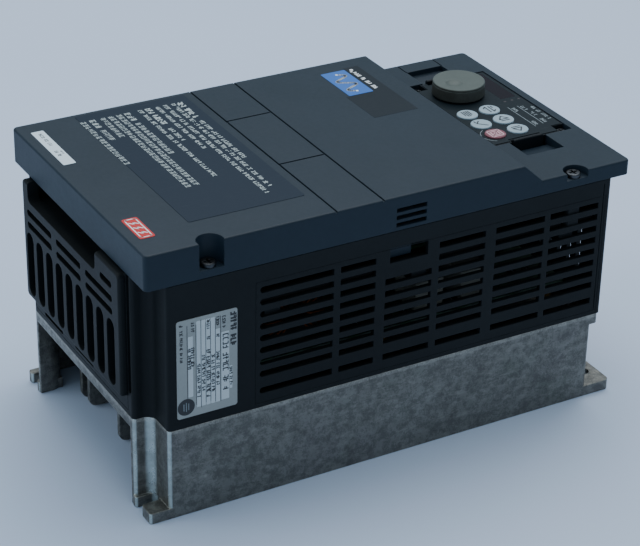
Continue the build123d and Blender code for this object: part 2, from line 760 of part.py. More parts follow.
with BuildPart() as control_board:
    add(
        span_box(
            (-control_board_x, control_board_x),
            (control_board_low_y, control_board_high_y),
            (control_board_z, control_top),
        )
    )
    fillet(control_board.edges().filter_by(Axis.Z), 2.0)
    with Locations(*[(x, y, control_board_z) for x, y in control_screw_places]):
        Cylinder(m3_radius + 0.2, board_thickness, align=BASE, mode=Mode.SUBTRACT)
save(control_board, "control_board")

with BuildPart() as option_connectors:
    with Locations(*[(x, -18.0, control_top) for x in (-30.0, 2.0, 34.0)]):
        Box(7.0, 42.0, 8.5, align=BASE)
        with Locations((0, 0, 8.5)):
            Box(2.4, 38.0, 10.0, mode=Mode.SUBTRACT)
save(option_connectors, "option_connectors")

control_block_y = control_board_low_y + 1.0 + control_terminal_depth / 2
control_block_length = control_terminal_count * control_terminal_pitch + 2.0
control_rows = (-4.5, 4.5)
control_block_top = control_top + control_terminal_height
with BuildPart() as control_terminal_block:
    with Locations((0, control_block_y, control_top)):
        Box(control_block_length, control_terminal_depth, control_terminal_height, align=BASE)
    with Locations((0, control_block_y, control_block_top)):
        with GridLocations(control_terminal_pitch, control_rows[1] - control_rows[0], control_terminal_count, 2):
            Cylinder(2.6, 2.0, align=HANG, mode=Mode.SUBTRACT)
    with Locations((0, control_block_y - control_terminal_depth / 2, control_top + 3.0)):
        with GridLocations(control_terminal_pitch, 1, control_terminal_count, 1):
            Box(4.0, 5.0, 3.2, mode=Mode.SUBTRACT)
save(control_terminal_block, "control_terminal_block")

with BuildPart() as control_terminal_screws:
    with Locations((0, control_block_y, control_block_top - 2.0)):
        with GridLocations(control_terminal_pitch, control_rows[1] - control_rows[0], control_terminal_count, 2):
            Cylinder(2.3, 1.2, align=BASE)
            with Locations((0, 0, 1.2)):
                Box(4.0, 0.6, 1.0, mode=Mode.SUBTRACT)
save(control_terminal_screws, "control_terminal_screws")

plug_x, plug_y = plug_place[0], panel_y0 + plug_place[1]
plug_z = panel_z - plug_drop
socket_inner = (plug_size[0] + 2 * socket_clearance, plug_size[1] + 2 * socket_clearance)
socket_top = plug_z + 2.5
with BuildPart() as panel_socket:
    with Locations((plug_x, plug_y, control_top)):
        Box(
            socket_inner[0] + 2 * socket_wall,
            socket_inner[1] + 2 * socket_wall,
            socket_top - control_top,
            align=BASE,
        )
    with Locations((plug_x, plug_y, socket_top)):
        Box(*socket_inner, 3.2, align=HANG, mode=Mode.SUBTRACT)
save(panel_socket, "panel_socket")

# ================================================================ wiring cover
comb_y0 = case_low_y - comb_proud
comb_y1 = case_low_y + comb_plate
comb_top = case_top - comb_top_drop
window_z = case_z + cable_window_sill
with BuildPart() as wiring_cover:
    add(
        span_box(
            (comb_x0 + comb_fit, comb_x1 - comb_fit),
            (case_low_y, comb_y1),
            (case_z + comb_floor + comb_fit, comb_top),
        )
    )
    with BuildSketch(Plane.XZ.offset(-comb_y0)) as pad:
        with Locations((-step_x, case_z + comb_pad_rise)):
            Rectangle(step_x + comb_x1, comb_top - case_z - comb_pad_rise, align=(Align.MIN, Align.MIN))
        fillet(pad.vertices(), 2.5)
    extrude(amount=-(comb_proud - 0.05))
    add(
        span_box(
            (comb_x0 + comb_fit, comb_x1 - comb_fit),
            (comb_y0 + 1, comb_y1),
            (case_z + comb_pad_rise + 3, comb_top - 3),
        )
    )
    fillet(wiring_cover.faces().sort_by(Axis.Y)[0].edges(), comb_round)
    # The sill under the cable window reaches inwards.
    add(
        span_box(
            (cable_window_left - 1, cable_window_right + 1),
            (comb_y0 + comb_round, comb_y1 + cable_sill_depth),
            (window_z - cable_sill_thickness, window_z),
        )
    )
    with BuildSketch(Plane.XZ.offset(-comb_y0)) as window:
        with Locations(((cable_window_left + cable_window_right) / 2, window_z)):
            Rectangle(cable_window_right - cable_window_left, 2 * case_height, align=(Align.CENTER, Align.MIN))
        fillet(window.vertices().group_by(Axis.Y)[0], 3.0)
    extrude(amount=-(comb_y1 - comb_y0 + cable_sill_depth + 1), both=True, mode=Mode.SUBTRACT)
    # Upright slots between the comb's fingers, and rows of short level slots above them.
    slot_length = comb_slot_high - comb_slot_low
    with BuildSketch(Plane.XZ.offset(-comb_y0)):
        with Locations((comb_slot_middle, case_z + (comb_slot_low + comb_slot_high) / 2)):
            with GridLocations(comb_slot_pitch, 1, comb_slot_count, 1):
                SlotOverall(slot_length, comb_slot_width, rotation=90)
        for level in comb_row_levels:
            for x0, x1 in comb_row_spans:
                with Locations(((x0 + x1) / 2, case_z + level)):
                    SlotOverall(x1 - x0, comb_row_height)
        with Locations((sum(side_slot_span) / 2, case_z + comb_row_levels[1] + 7.0)):
            SlotOverall(side_slot_span[1] - side_slot_span[0], comb_row_height)
        with Locations((sum(finger_hole_span) / 2, case_z + finger_hole_rise)):
            finger_width = finger_hole_span[1] - finger_hole_span[0]
            Rectangle(finger_width, finger_hole_height, align=(Align.CENTER, Align.MIN))
        with Locations((sum(bottom_slit_span) / 2, case_z + finger_hole_rise)):
            SlotOverall(bottom_slit_span[1] - bottom_slit_span[0], bottom_slit_height)
    extrude(amount=-(comb_y1 - comb_y0 + 1), both=True, mode=Mode.SUBTRACT)
save(wiring_cover, "wiring_cover")

# ================================================================ front cover
well_x = half_width - screw_well_side_setback
well_places = ((well_x, cover_screw_lower_y, cover_top), (well_x, cover_screw_upper_y, cover_low_top))
recess_y0 = recess_y - recess_length / 2
recess_y1 = recess_y + recess_length / 2


def cover_profile(grow):
    """Side view of the cover, with all its walls moved out by grow."""
    with BuildSketch() as profile:
        with BuildLine():
            Polyline(
                (-half_length, cover_z),
                (-half_length, cover_top),
                (ridge_y, cover_top),
                (slope_end_y, cover_low_top),
                (half_length, cover_low_top),
                (half_length, cover_z),
                close=True,
            )
        make_face()
        if grow:
            offset(amount=grow, kind=Kind.INTERSECTION)
            with Locations((0, cover_z)):
                Rectangle(body_length + 2 * grow, 2 * (-grow) + 2.0)
    return profile.sketch


with BuildPart() as front_cover:
    with BuildSketch(Plane.YZ.offset(-half_width)):
        add(cover_profile(0.0))
    extrude(amount=body_width)
    fillet(front_cover.edges().filter_by(Axis.Z), cover_corner)
    rim = front_cover.faces().filter_by(lambda f: f.normal_at().Z > 0.3).edges()
    outer_rim = [edge for edge in rim if edge not in front_cover.edges().filter_by(Axis.X)]
    ends = front_cover.edges().filter_by(Axis.X).filter_by(lambda e: abs(abs(e.center().Y) - half_length) < 0.1)
    fillet(outer_rim + [edge for edge in ends if edge.center().Z > cover_z + 1], cover_edge_round)
    with BuildSketch(Plane.YZ.offset(shell_wall - half_width)):
        add(cover_profile(-shell_wall))
    extrude(amount=body_width - 2 * shell_wall, mode=Mode.SUBTRACT)
    # Wells for the two cover screws, open at the side.
    with BuildSketch(Plane.XY.offset(cover_z)):
        with Locations(*[(x, y) for x, y, top in well_places]):
            Circle(screw_well_radius + screw_well_wall)
        with Locations((half_width - shell_wall / 2, 0)):
            Rectangle(body_width, body_length, align=(Align.MAX, Align.CENTER), mode=Mode.INTERSECT)
    extrude(amount=cover_low_top - cover_z - 1.0)
    with BuildSketch(Plane.XY.offset(cover_low_top - 1.5)):
        with Locations(well_places[0][:2]):
            Circle(screw_well_radius + screw_well_wall)
        with Locations((half_width - shell_wall / 2, 0)):
            Rectangle(body_width, body_length, align=(Align.MAX, Align.CENTER), mode=Mode.INTERSECT)
    extrude(amount=cover_low_drop)
    for x, y, top in well_places:
        with Locations((x, y, cover_screw_seat)):
            Cylinder(screw_well_radius, top - cover_screw_seat + 1, align=BASE, mode=Mode.SUBTRACT)
    with Locations(*[(x, y, cover_z) for x, y in cover_screw_places]):
        Cylinder(cover_screw_radius + 0.2, 20.0, mode=Mode.SUBTRACT)
    # A pocket holds the operation panel on an inner lip, with a finger recess at each side of it.
    pocket_floor = panel_z - pocket_lip_thickness
    with BuildSketch(Plane.XY.offset(pocket_floor)):
        with Locations((panel_x, panel_y)):
            Rectangle(panel_width + 2 * (panel_fit + pocket_wall), panel_length + 2 * (panel_fit + pocket_wall))
    extrude(amount=cover_low_top - pocket_floor - 1.0)
    for side, edge in ((-1, panel_x0), (1, panel_x1)):
        slot_x = edge + side * (recess_slot_reach + recess_wall)
        tip_x = edge + side * recess_reach
        with BuildSketch(Plane.XZ.offset(-recess_y)):
            with BuildLine():
                Polyline(
                    (edge, recess_floor_z - recess_wall),
                    (slot_x, recess_floor_z - recess_wall),
                    (slot_x, cover_low_top - recess_ramp_depth - recess_wall),
                    (tip_x + side * recess_wall, cover_low_top - recess_end_depth - recess_wall),
                    (tip_x + side * recess_wall, cover_low_top - 1.0),
                    (edge, cover_low_top - 1.0),
                    close=True,
                )
            make_face()
        extrude(amount=recess_length / 2 + recess_wall, both=True)
    with BuildSketch(Plane.XY.offset(panel_z)):
        with Locations((panel_x, panel_y)):
            Rectangle(panel_width + 2 * panel_fit, panel_length + 2 * panel_fit)
    extrude(amount=panel_depth + 1, mode=Mode.SUBTRACT)
    with BuildSketch(Plane.XY.offset(pocket_floor)):
        with Locations((panel_x, panel_y)):
            Rectangle(panel_width - 2 * pocket_lip, panel_length - 2 * pocket_lip)
        with Locations(*panel_screw_places):
            Circle(panel_screw_radius + 3.0, mode=Mode.SUBTRACT)
    extrude(amount=pocket_lip_thickness, mode=Mode.SUBTRACT)
    with Locations(*[(x, y, panel_z) for x, y in panel_screw_places]):
        Cylinder(panel_screw_radius + 0.4, 4 * pocket_lip_thickness, mode=Mode.SUBTRACT)
    # Each finger recess is a shallow pocket whose floor falls to the slot that its latch stands in.
    for side, edge in ((-1, panel_x0), (1, panel_x1)):
        inner_x = edge - side * 0.2
        slot_x = edge + side * recess_slot_reach
        tip_x = edge + side * recess_reach
        with BuildSketch(Plane.XZ.offset(-recess_y)):
            with BuildLine():
                Polyline(
                    (inner_x, recess_floor_z),
                    (slot_x, recess_floor_z),
                    (slot_x, cover_low_top - recess_ramp_depth),
                    (tip_x, cover_low_top - recess_end_depth),
                    (tip_x, cover_top),
                    (inner_x, cover_top),
                    close=True,
                )
            make_face()
        extrude(amount=recess_length / 2, both=True, mode=Mode.SUBTRACT)
    # Moulded grooves across the high part, between them, and beside the far finger recess.
    with Locations(*[(0, y, cover_top) for y in groove_ys]):
        Box(body_width + 1, groove_width, 2 * groove_depth, mode=Mode.SUBTRACT)
    with Locations(*[(x, sum(groove_ys) / 2, cover_top) for x in short_groove_xs]):
        Box(groove_width, groove_ys[1] - groove_ys[0], 2 * groove_depth, mode=Mode.SUBTRACT)
    edge_groove_length = half_width + panel_x0 - recess_reach
    with Locations(*[(-half_width + edge_groove_length / 2, y, cover_low_top) for y in (recess_y0, recess_y1)]):
        Box(edge_groove_length, 0.7, 1.2, mode=Mode.SUBTRACT)
    # Louvres in both long sides.
    for side in (-1, 1):
        with Locations(
            *[
                (side * half_width, louvre_start + louvre_length / 2, cover_z + 2.9 + louvre_pitch * row)
                for row in range(louvre_count)
            ]
        ):
            Box(2 * shell_wall + 2, louvre_length, louvre_height, mode=Mode.SUBTRACT)
    # Two hooks stand inside the case wall along the hinge side.
    hook_x1 = -half_width + shell_wall + hook_clearance
    for y in hook_ys:
        add(
            span_box(
                (-half_width + shell_wall - 0.5, hook_x1 + hook_thickness),
                (y - hook_length / 2, y + hook_length / 2),
                (cover_z + 0.2, cover_z + 5.5),
            )
        )
        add(
            span_box(
                (hook_x1, hook_x1 + hook_thickness),
                (y - hook_length / 2, y + hook_length / 2),
                (cover_z - hook_reach, cover_z + 0.3),
            )
        )
save(front_cover, "front_cover")

for name, spans, rounding in (
    ("warning_label", warning_span, 1.0),
    ("serial_label", serial_span, 0.5),
    ("voltage_label", voltage_span, 1.2),
    ("badge_plate", badge_span, 0.6),
):
    with BuildPart() as label:
        add(span_box(*spans, (cover_top, cover_top + label_thickness)))
        fillet(label.edges().filter_by(Axis.Z), rounding)
    save(label, name)

release_x1 = half_width - shell_wall - 1.3
window_y0 = -half_length + window_start
with BuildPart() as cover_release_hook:
    add(
        span_box(
            (release_x1 - 2.2, release_x1),
            (window_y0 + 0.5, window_y0 + 13.6),
            (case_top - window_drop - window_height + 0.3, cover_top - shell_wall - 3.0),
        )
    )
    fillet(cover_release_hook.edges().filter_by(Axis.Y), 0.7)
save(cover_release_hook, "cover_release_hook")

cover_screw = cross_screw(
    cover_screw_head_radius, cover_screw_head_height, cover_screw_radius, cover_screw_length
)
for name, place in zip(("cover_screw_lower", "cover_screw_upper"), cover_screw_places):
    with BuildPart() as captive_screw:
        with Locations((*place, cover_screw_seat)):
            add(cover_screw)
    save(captive_screw, name)

# ================================================================ operation panel
display_x = sum(display_span_x) / 2
display_y = panel_y0 + sum(display_span_y) / 2
display_size = (display_span_x[1] - display_span_x[0], display_span_y[1] - display_span_y[0])
key_hole_radius = key_radius + key_clearance
shaft_hole_radius = shaft_radius + 1.4
lamp_places = [(lamp_x, panel_y0 + y) for y in lamp_ys]


def panel_openings(window_grow):
    """Cut-outs that the panel's shell and face share, with the display's opening widened."""
    with BuildSketch() as openings:
        with Locations(*key_places.values()):
            Circle(key_hole_radius)
        with Locations((dial_x, dial_y)):
            Circle(shaft_hole_radius)
        with Locations(*lamp_places):
            Circle(lamp_radius + 0.05)
        with Locations((display_x, display_y)):
            Rectangle(display_size[0] + 2 * window_grow, display_size[1] + 2 * window_grow)
    return openings.sketch


latch_cut_length = latch_bar_length + 2 * latch_slot_clearance


def screw_notches(grow):
    """Plan of the square notches at the panel's two screws, open at its corners."""
    side = 2 * panel_screw_well + panel_notch_overrun + grow
    shift = (panel_notch_overrun - grow) / 2
    (low_x, low_y), (high_x, high_y) = panel_screw_places
    with BuildSketch() as notches:
        with Locations((low_x - shift, low_y - shift), (high_x + shift, high_y + shift)):
            Rectangle(side, side)
    return notches.sketch


with BuildPart() as panel_case:
    case_bottom = panel_z + panel_back_thickness
    add(span_box((panel_x0, panel_x1), (panel_y0, panel_y1), (case_bottom, panel_case_top)))
    fillet(panel_case.edges().filter_by(Axis.Z), 0.8)
    add(
        span_box(
            (panel_x0 + panel_wall, panel_x1 - panel_wall),
            (panel_y0 + panel_wall, panel_y1 - panel_wall),
            (case_bottom, panel_case_top - panel_wall),
        ),
        mode=Mode.SUBTRACT,
    )
    # Corner pillars carry the captive screws.
    with BuildSketch(Plane.XY.offset(case_bottom)):
        add(screw_notches(panel_notch_wall))
        with Locations((panel_x, panel_y)):
            Rectangle(panel_width - 0.4, panel_length - 0.4, mode=Mode.INTERSECT)
    extrude(amount=panel_case_top - case_bottom - 0.5)
    with BuildSketch(Plane.XY.offset(panel_case_top - panel_notch_depth)):
        add(screw_notches(0.0))
    extrude(amount=panel_depth, mode=Mode.SUBTRACT)
    with Locations(*[(x, y, panel_case_top) for x, y in panel_screw_places]):
        Cylinder(panel_screw_radius + 0.15, 4 * panel_depth, mode=Mode.SUBTRACT)
    with BuildSketch(Plane.XY.offset(panel_case_top - 2 * panel_wall)):
        add(panel_openings(0.05))
    extrude(amount=3 * panel_wall, mode=Mode.SUBTRACT)
    for x in (panel_x0, panel_x1):
        add(
            span_box(
                (x - panel_wall - 0.6, x + panel_wall + 0.6),
                (recess_y - latch_cut_length / 2, recess_y + latch_cut_length / 2),
                (latch_z - 0.4, cover_top),
            ),
            mode=Mode.SUBTRACT,
        )
save(panel_case, "panel_case")

with BuildPart() as panel_back:
    add(span_box((panel_x0, panel_x1), (panel_y0, panel_y1), (panel_z, panel_z + panel_back_thickness)))
    fillet(panel_back.edges().filter_by(Axis.Z), 0.8)
    with Locations((plug_x, plug_y, panel_z)):
        Box(plug_size[0] + 0.6, plug_size[1] + 0.6, 4.0, mode=Mode.SUBTRACT)
    with Locations(*[(x, y, panel_z) for x, y in panel_screw_places]):
        Cylinder(panel_screw_radius + 0.15, 4.0, mode=Mode.SUBTRACT)
save(panel_back, "panel_back")

face_margin = 1.0
with BuildPart() as panel_face:
    with BuildSketch(Plane.XY.offset(panel_case_top)):
        with Locations((panel_x, panel_y)):
            Rectangle(panel_width - 2 * face_margin, panel_length - 2 * face_margin)
        add(screw_notches(0.4), mode=Mode.SUBTRACT)
        for x in (panel_x0, panel_x1):
            with Locations((x, recess_y)):
                Rectangle(2 * (latch_thickness + 1.2), latch_cut_length + 1.0, mode=Mode.SUBTRACT)
        add(panel_openings(0.05), mode=Mode.SUBTRACT)
    extrude(amount=panel_face_thickness)
save(panel_face, "panel_face")

with BuildPart() as display_window:
    with Locations((display_x, display_y, panel_top)):
        Box(*display_size, display_glass, align=HANG)
save(display_window, "display_window")

with BuildPart() as display_module:
    with Locations((display_x, display_y, panel_board_top)):
        Box(
            display_size[0] - 1,
            display_size[1] - 1,
            panel_top - display_glass - 0.4 - panel_board_top,
            align=BASE,
        )
save(display_module, "display_module")

with BuildPart() as indicator_lamps:
    with Locations(*[(x, y, panel_board_top) for x, y in lamp_places]):
        Cylinder(lamp_radius, panel_top - panel_board_top, align=BASE)
save(indicator_lamps, "indicator_lamps")

board_margin = panel_wall + 1.0
with BuildPart() as panel_board:
    with BuildSketch(Plane.XY.offset(panel_board_z)):
        with Locations((panel_x, panel_y)):
            Rectangle(panel_width - 2 * board_margin, panel_length - 2 * board_margin)
        add(screw_notches(panel_notch_wall + 0.3), mode=Mode.SUBTRACT)
    extrude(amount=board_thickness)
save(panel_board, "panel_board")

key_bottom = panel_case_top - panel_wall - 0.2 - key_flange_thickness
with BuildPart() as key_switches:
    with Locations(*[(x, y, panel_board_top) for x, y in key_places.values()]):
        Box(6.0, 6.0, 3.4, align=BASE)
        Cylinder(1.7, key_bottom - key_travel - 0.1 - panel_board_top, align=BASE)
save(key_switches, "key_switches")

encoder_top = panel_case_top - panel_wall - 0.4
plate_z = panel_board_top + 0.6 + dial_travel + 0.6
with BuildPart() as encoder:
    with Locations((dial_x, dial_y, panel_board_top)):
        Box(encoder_size, encoder_size, encoder_top - panel_board_top, align=BASE)
    fillet(encoder.edges().filter_by(Axis.Z), 0.8)
    with Locations((dial_x, dial_y, panel_board_top + 0.6)):
        Cylinder(shaft_radius + shaft_clearance, 4 * panel_depth, align=BASE, mode=Mode.SUBTRACT)
save(encoder, "encoder")

with BuildPart() as dial_push_plate:
    with Locations((dial_x, dial_y, plate_z)):
        Cylinder(shaft_radius, push_plate_thickness, align=BASE)
save(dial_push_plate, "dial_push_plate")

shaft_z = plate_z + push_plate_thickness + 0.05
with BuildPart() as dial_shaft:
    with Locations((dial_x, dial_y, shaft_z)):
        Cylinder(shaft_radius, dial_z + shaft_grip - shaft_z, align=BASE)
    chamfer(dial_shaft.faces().sort_by(Axis.Z)[-1].edges(), 0.4)
save(dial_shaft, "dial_shaft")

dimple_ball = (dial_dimple_radius**2 + dial_dimple_depth**2) / (2 * dial_dimple_depth)
with BuildPart() as setting_dial:
    with Locations((dial_x, dial_y, dial_z)):
        Cone(dial_radius + 0.15, dial_radius - 0.15, dial_height, align=BASE)
    fillet(setting_dial.faces().sort_by(Axis.Z)[-1].edges(), 0.7)
    chamfer(setting_dial.faces().sort_by(Axis.Z)[0].edges(), 0.4)
    with Locations((dial_x, dial_y, dial_z + dial_height - 1.3)):
        Torus(dial_radius + 0.05, 0.28, mode=Mode.SUBTRACT)
    dimple_z = dial_z + dial_height + dimple_ball - dial_dimple_depth
    with Locations((dial_x + dial_dimple_x, dial_y + dial_dimple_y, dimple_z)):
        Sphere(dimple_ball, mode=Mode.SUBTRACT)
    with Locations((dial_x, dial_y, dial_z)):
        Cylinder(shaft_radius + shaft_clearance, shaft_grip + 0.2, align=BASE, mode=Mode.SUBTRACT)
save(setting_dial, "setting_dial")

with BuildPart() as panel_plug:
    with Locations((plug_x, plug_y, plug_z)):
        Box(*plug_size, panel_board_z - plug_z, align=BASE)
    chamfer(panel_plug.faces().sort_by(Axis.Z)[0].edges(), 0.5)
save(panel_plug, "panel_plug")

for name, place in key_places.items():
    with BuildPart() as key:
        with Locations((*place, key_bottom)):
            Cylinder(key_radius + key_flange, key_flange_thickness, align=BASE)
            Cylinder(key_radius, panel_top + key_rise - key_bottom, align=BASE)
        fillet(key.faces().sort_by(Axis.Z)[-1].edges(), 0.45)
    save(key, name)

panel_screw_seat = panel_case_top - 3.2
panel_screw = cross_screw(
    panel_screw_head_radius, panel_screw_head_height, panel_screw_radius, panel_screw_seat - panel_z + 2.6
)
for name, place in zip(("panel_screw_left", "panel_screw_right"), panel_screw_places):
    with BuildPart() as captive_screw:
        with Locations((*place, panel_screw_seat)):
            add(panel_screw)
    save(captive_screw, name)

# Each latch stands at the panel's edge, where a finger in the recess can press it inwards.
for name, side, edge_x in (("panel_latch_left", -1, panel_x0), ("panel_latch_right", 1, panel_x1)):
    latch_x0 = edge_x + side * (latch_stand_off + latch_travel - latch_thickness)
    latch_x1 = edge_x + side * (latch_stand_off + latch_travel)
    with BuildPart() as latch:
        add(
            span_box(
                (min(latch_x0, latch_x1), max(latch_x0, latch_x1)),
                (recess_y - latch_bar_length / 2, recess_y + latch_bar_length / 2),
                (latch_z, panel_top + latch_rise),
            )
        )
        fillet(latch.faces().sort_by(Axis.Z)[-1].edges(), 0.8)
    save(latch, name)
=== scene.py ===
"""Looks of the variable frequency drive: finishes, printed marks, small fittings, stage and camera.

Everything is in metres in the drive's own frame. X runs across the drive, Y runs up it towards the operation
panel, and Z points out of the wall that it is mounted on.
"""

import logging
import math
import random
from dataclasses import dataclass, field
from enum import Enum
from typing import Any, Iterable, Sequence

import bmesh
import bpy
from mathutils import Matrix, Vector


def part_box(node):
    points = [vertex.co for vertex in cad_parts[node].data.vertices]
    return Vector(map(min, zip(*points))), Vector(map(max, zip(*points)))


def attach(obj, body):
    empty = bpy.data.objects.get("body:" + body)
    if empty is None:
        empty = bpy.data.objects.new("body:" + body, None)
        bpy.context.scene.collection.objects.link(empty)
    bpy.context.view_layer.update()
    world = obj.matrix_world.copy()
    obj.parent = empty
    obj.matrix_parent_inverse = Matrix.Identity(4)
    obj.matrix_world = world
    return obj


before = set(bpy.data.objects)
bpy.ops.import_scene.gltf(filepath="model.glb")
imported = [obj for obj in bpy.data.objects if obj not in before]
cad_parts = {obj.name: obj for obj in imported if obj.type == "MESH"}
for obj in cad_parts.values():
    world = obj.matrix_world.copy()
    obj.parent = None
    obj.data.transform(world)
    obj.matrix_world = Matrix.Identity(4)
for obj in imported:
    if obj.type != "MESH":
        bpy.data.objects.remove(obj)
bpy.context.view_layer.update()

MM = 0.001
log = logging.getLogger("drive")

Colour = tuple[float, float, float]
Point = tuple[float, float, float]
Spot = tuple[float, float]
Socket = bpy.types.NodeSocket


def tint(code: str) -> Colour:
    """Linear colour of a six-digit screen colour.

    Args:
        code: Red, green and blue in hexadecimal.

    Returns:
        The three linear channels.
    """
    channels = [int(code[i : i + 2], 16) / 255 for i in (0, 2, 4)]
    return tuple(c / 12.92 if c <= 0.04045 else ((c + 0.055) / 1.055) ** 2.4 for c in channels)


def tints(codes: str) -> tuple[Colour, ...]:
    """Linear colours of several screen colours, written with spaces between them."""
    return tuple(tint(code) for code in codes.split())


def enabled(sockets: Iterable[Socket], name: str | None = None) -> Socket:
    """The first socket in use, or the first one in use with a name."""
    return next(s for s in sockets if s.enabled and name in (None, s.name))


# ---------------------------------------------------------------- node trees


class NodeWeb:
    """A node tree with short ways to add, feed and join its nodes."""

    def __init__(self, tree: bpy.types.NodeTree) -> None:
        """Keep the tree that the nodes go into."""
        self.tree = tree

    def add(self, kind: str, settings: dict[str, Any] | None = None, **inputs: Any) -> bpy.types.Node:
        """Add a node.

        Args:
            kind: The node's type name.
            settings: Properties to set before its sockets are fed.
            inputs: Values or sockets for its inputs, with _ in place of each space.

        Returns:
            The new node.
        """
        node = self.tree.nodes.new(kind)
        for key, value in (settings or {}).items():
            setattr(node, key, value)
        for key, value in inputs.items():
            self.feed(enabled(node.inputs, key.replace("_", " ")), value)
        return node

    def feed(self, socket: Socket, value: Any) -> None:
        """Link a socket to an input, or set the input's value."""
        if isinstance(value, Socket):
            self.tree.links.new(value, socket)
        else:
            socket.default_value = value

    def math(self, operation: str, first: Any, second: Any = 0.0, clamp: bool = False) -> Socket:
        """Join two values with an arithmetic node and return its result."""
        node = self.tree.nodes.new("ShaderNodeMath")
        node.operation = operation
        node.use_clamp = clamp
        self.feed(node.inputs[0], first)
        self.feed(node.inputs[1], second)
        return node.outputs[0]

    def blend(self, share: Any, first: Any, second: Any) -> Socket:
        """Mix two colours by a share and return the colour."""
        node = self.tree.nodes.new("ShaderNodeMix")
        node.data_type = "RGBA"
        self.feed(node.inputs[0], share)
        for socket, value in ((node.inputs[6], first), (node.inputs[7], second)):
            self.feed(socket, value if isinstance(value, Socket) else (*value, 1.0))
        return node.outputs[2]

    def span(self, value: Any, low: Any, high: Any, to_low: Any = 0.0, to_high: Any = 1.0) -> Socket:
        """Stretch a value from one range to another, clamped, and return it."""
        node = self.add(
            "ShaderNodeMapRange", Value=value, From_Min=low, From_Max=high, To_Min=to_low, To_Max=to_high
        )
        return node.outputs[0]

    def noise(self, where: Any, scale: Any, detail: float = 2.0, rough: float = 0.5) -> Socket:
        """Noise value at a place."""
        node = self.add("ShaderNodeTexNoise", Vector=where, Scale=scale, Detail=detail, Roughness=rough)
        return node.outputs[0]

    def over(self, mask: Any, amount: Any, first: Any, second: Any) -> Socket:
        """Lay a second colour over a first by a mask times an amount."""
        return self.blend(self.math("MULTIPLY", mask, amount), first, second)

    def between(self, share: Any, low: Any, high: Any) -> Socket:
        """A value that goes from low to high as a share goes from 0 to 1."""
        return self.span(share, 0.0, 1.0, low, high)

    def place(self) -> Socket:
        """Place on the object, in metres."""
        return self.add("ShaderNodeTexCoord").outputs["Object"]

    def facing(self, normal: str = "True Normal") -> bpy.types.Node:
        """The surface's normal, split into its axes."""
        return self.add("ShaderNodeSeparateXYZ", Vector=self.add("ShaderNodeNewGeometry").outputs[normal])

    def vector(self, operation: str, first: Any, second: Any) -> bpy.types.Node:
        """Join two vectors with an arithmetic node."""
        node = self.add("ShaderNodeVectorMath", {"operation": operation})
        self.feed(node.inputs[0], first)
        self.feed(node.inputs[1], second)
        return node

    def attribute(self, name: str) -> Socket:
        """A vector that each point carries under this name."""
        node = self.add("GeometryNodeInputNamedAttribute", {"data_type": "FLOAT_VECTOR"}, Name=name)
        return enabled(node.outputs)

    def chance(self, kind: str, **inputs: Any) -> Socket:
        """A random value of one kind for each point."""
        return enabled(self.add("FunctionNodeRandomValue", {"data_type": kind}, **inputs).outputs)

    def coat(self, instances: Socket, finish: Socket, out: Socket) -> None:
        """Make instances real, give them a material and send them out."""
        real = self.add("GeometryNodeRealizeInstances", Geometry=instances)
        coated = self.add("GeometryNodeSetMaterial", Geometry=real.outputs[0], Material=finish)
        self.feed(out, coated.outputs[0])


def new_group(
    name: str,
    inputs: Sequence[tuple[str, str, Any]],
    outputs: Sequence[tuple[str, str]],
    kind: str = "ShaderNodeTree",
) -> tuple[NodeWeb, Any, Any]:
    """Start a node group with its named sockets.

    Args:
        name: The group's name.
        inputs: Name, socket type and default of each input.
        outputs: Name and socket type of each output.
        kind: ShaderNodeTree or GeometryNodeTree.

    Returns:
        The group's web, the sockets that it is given and the sockets that it gives out.
    """
    tree = bpy.data.node_groups.new(name, kind)
    for label, socket_type, default in inputs:
        socket = tree.interface.new_socket(name=label, in_out="INPUT", socket_type=socket_type)
        if default is not None:
            socket.default_value = default
    for label, socket_type in outputs:
        tree.interface.new_socket(name=label, in_out="OUTPUT", socket_type=socket_type)
    return NodeWeb(tree), tree.nodes.new("NodeGroupInput").outputs, tree.nodes.new("NodeGroupOutput").inputs


FLOAT = "NodeSocketFloat"
VECTOR = "NodeSocketVector"


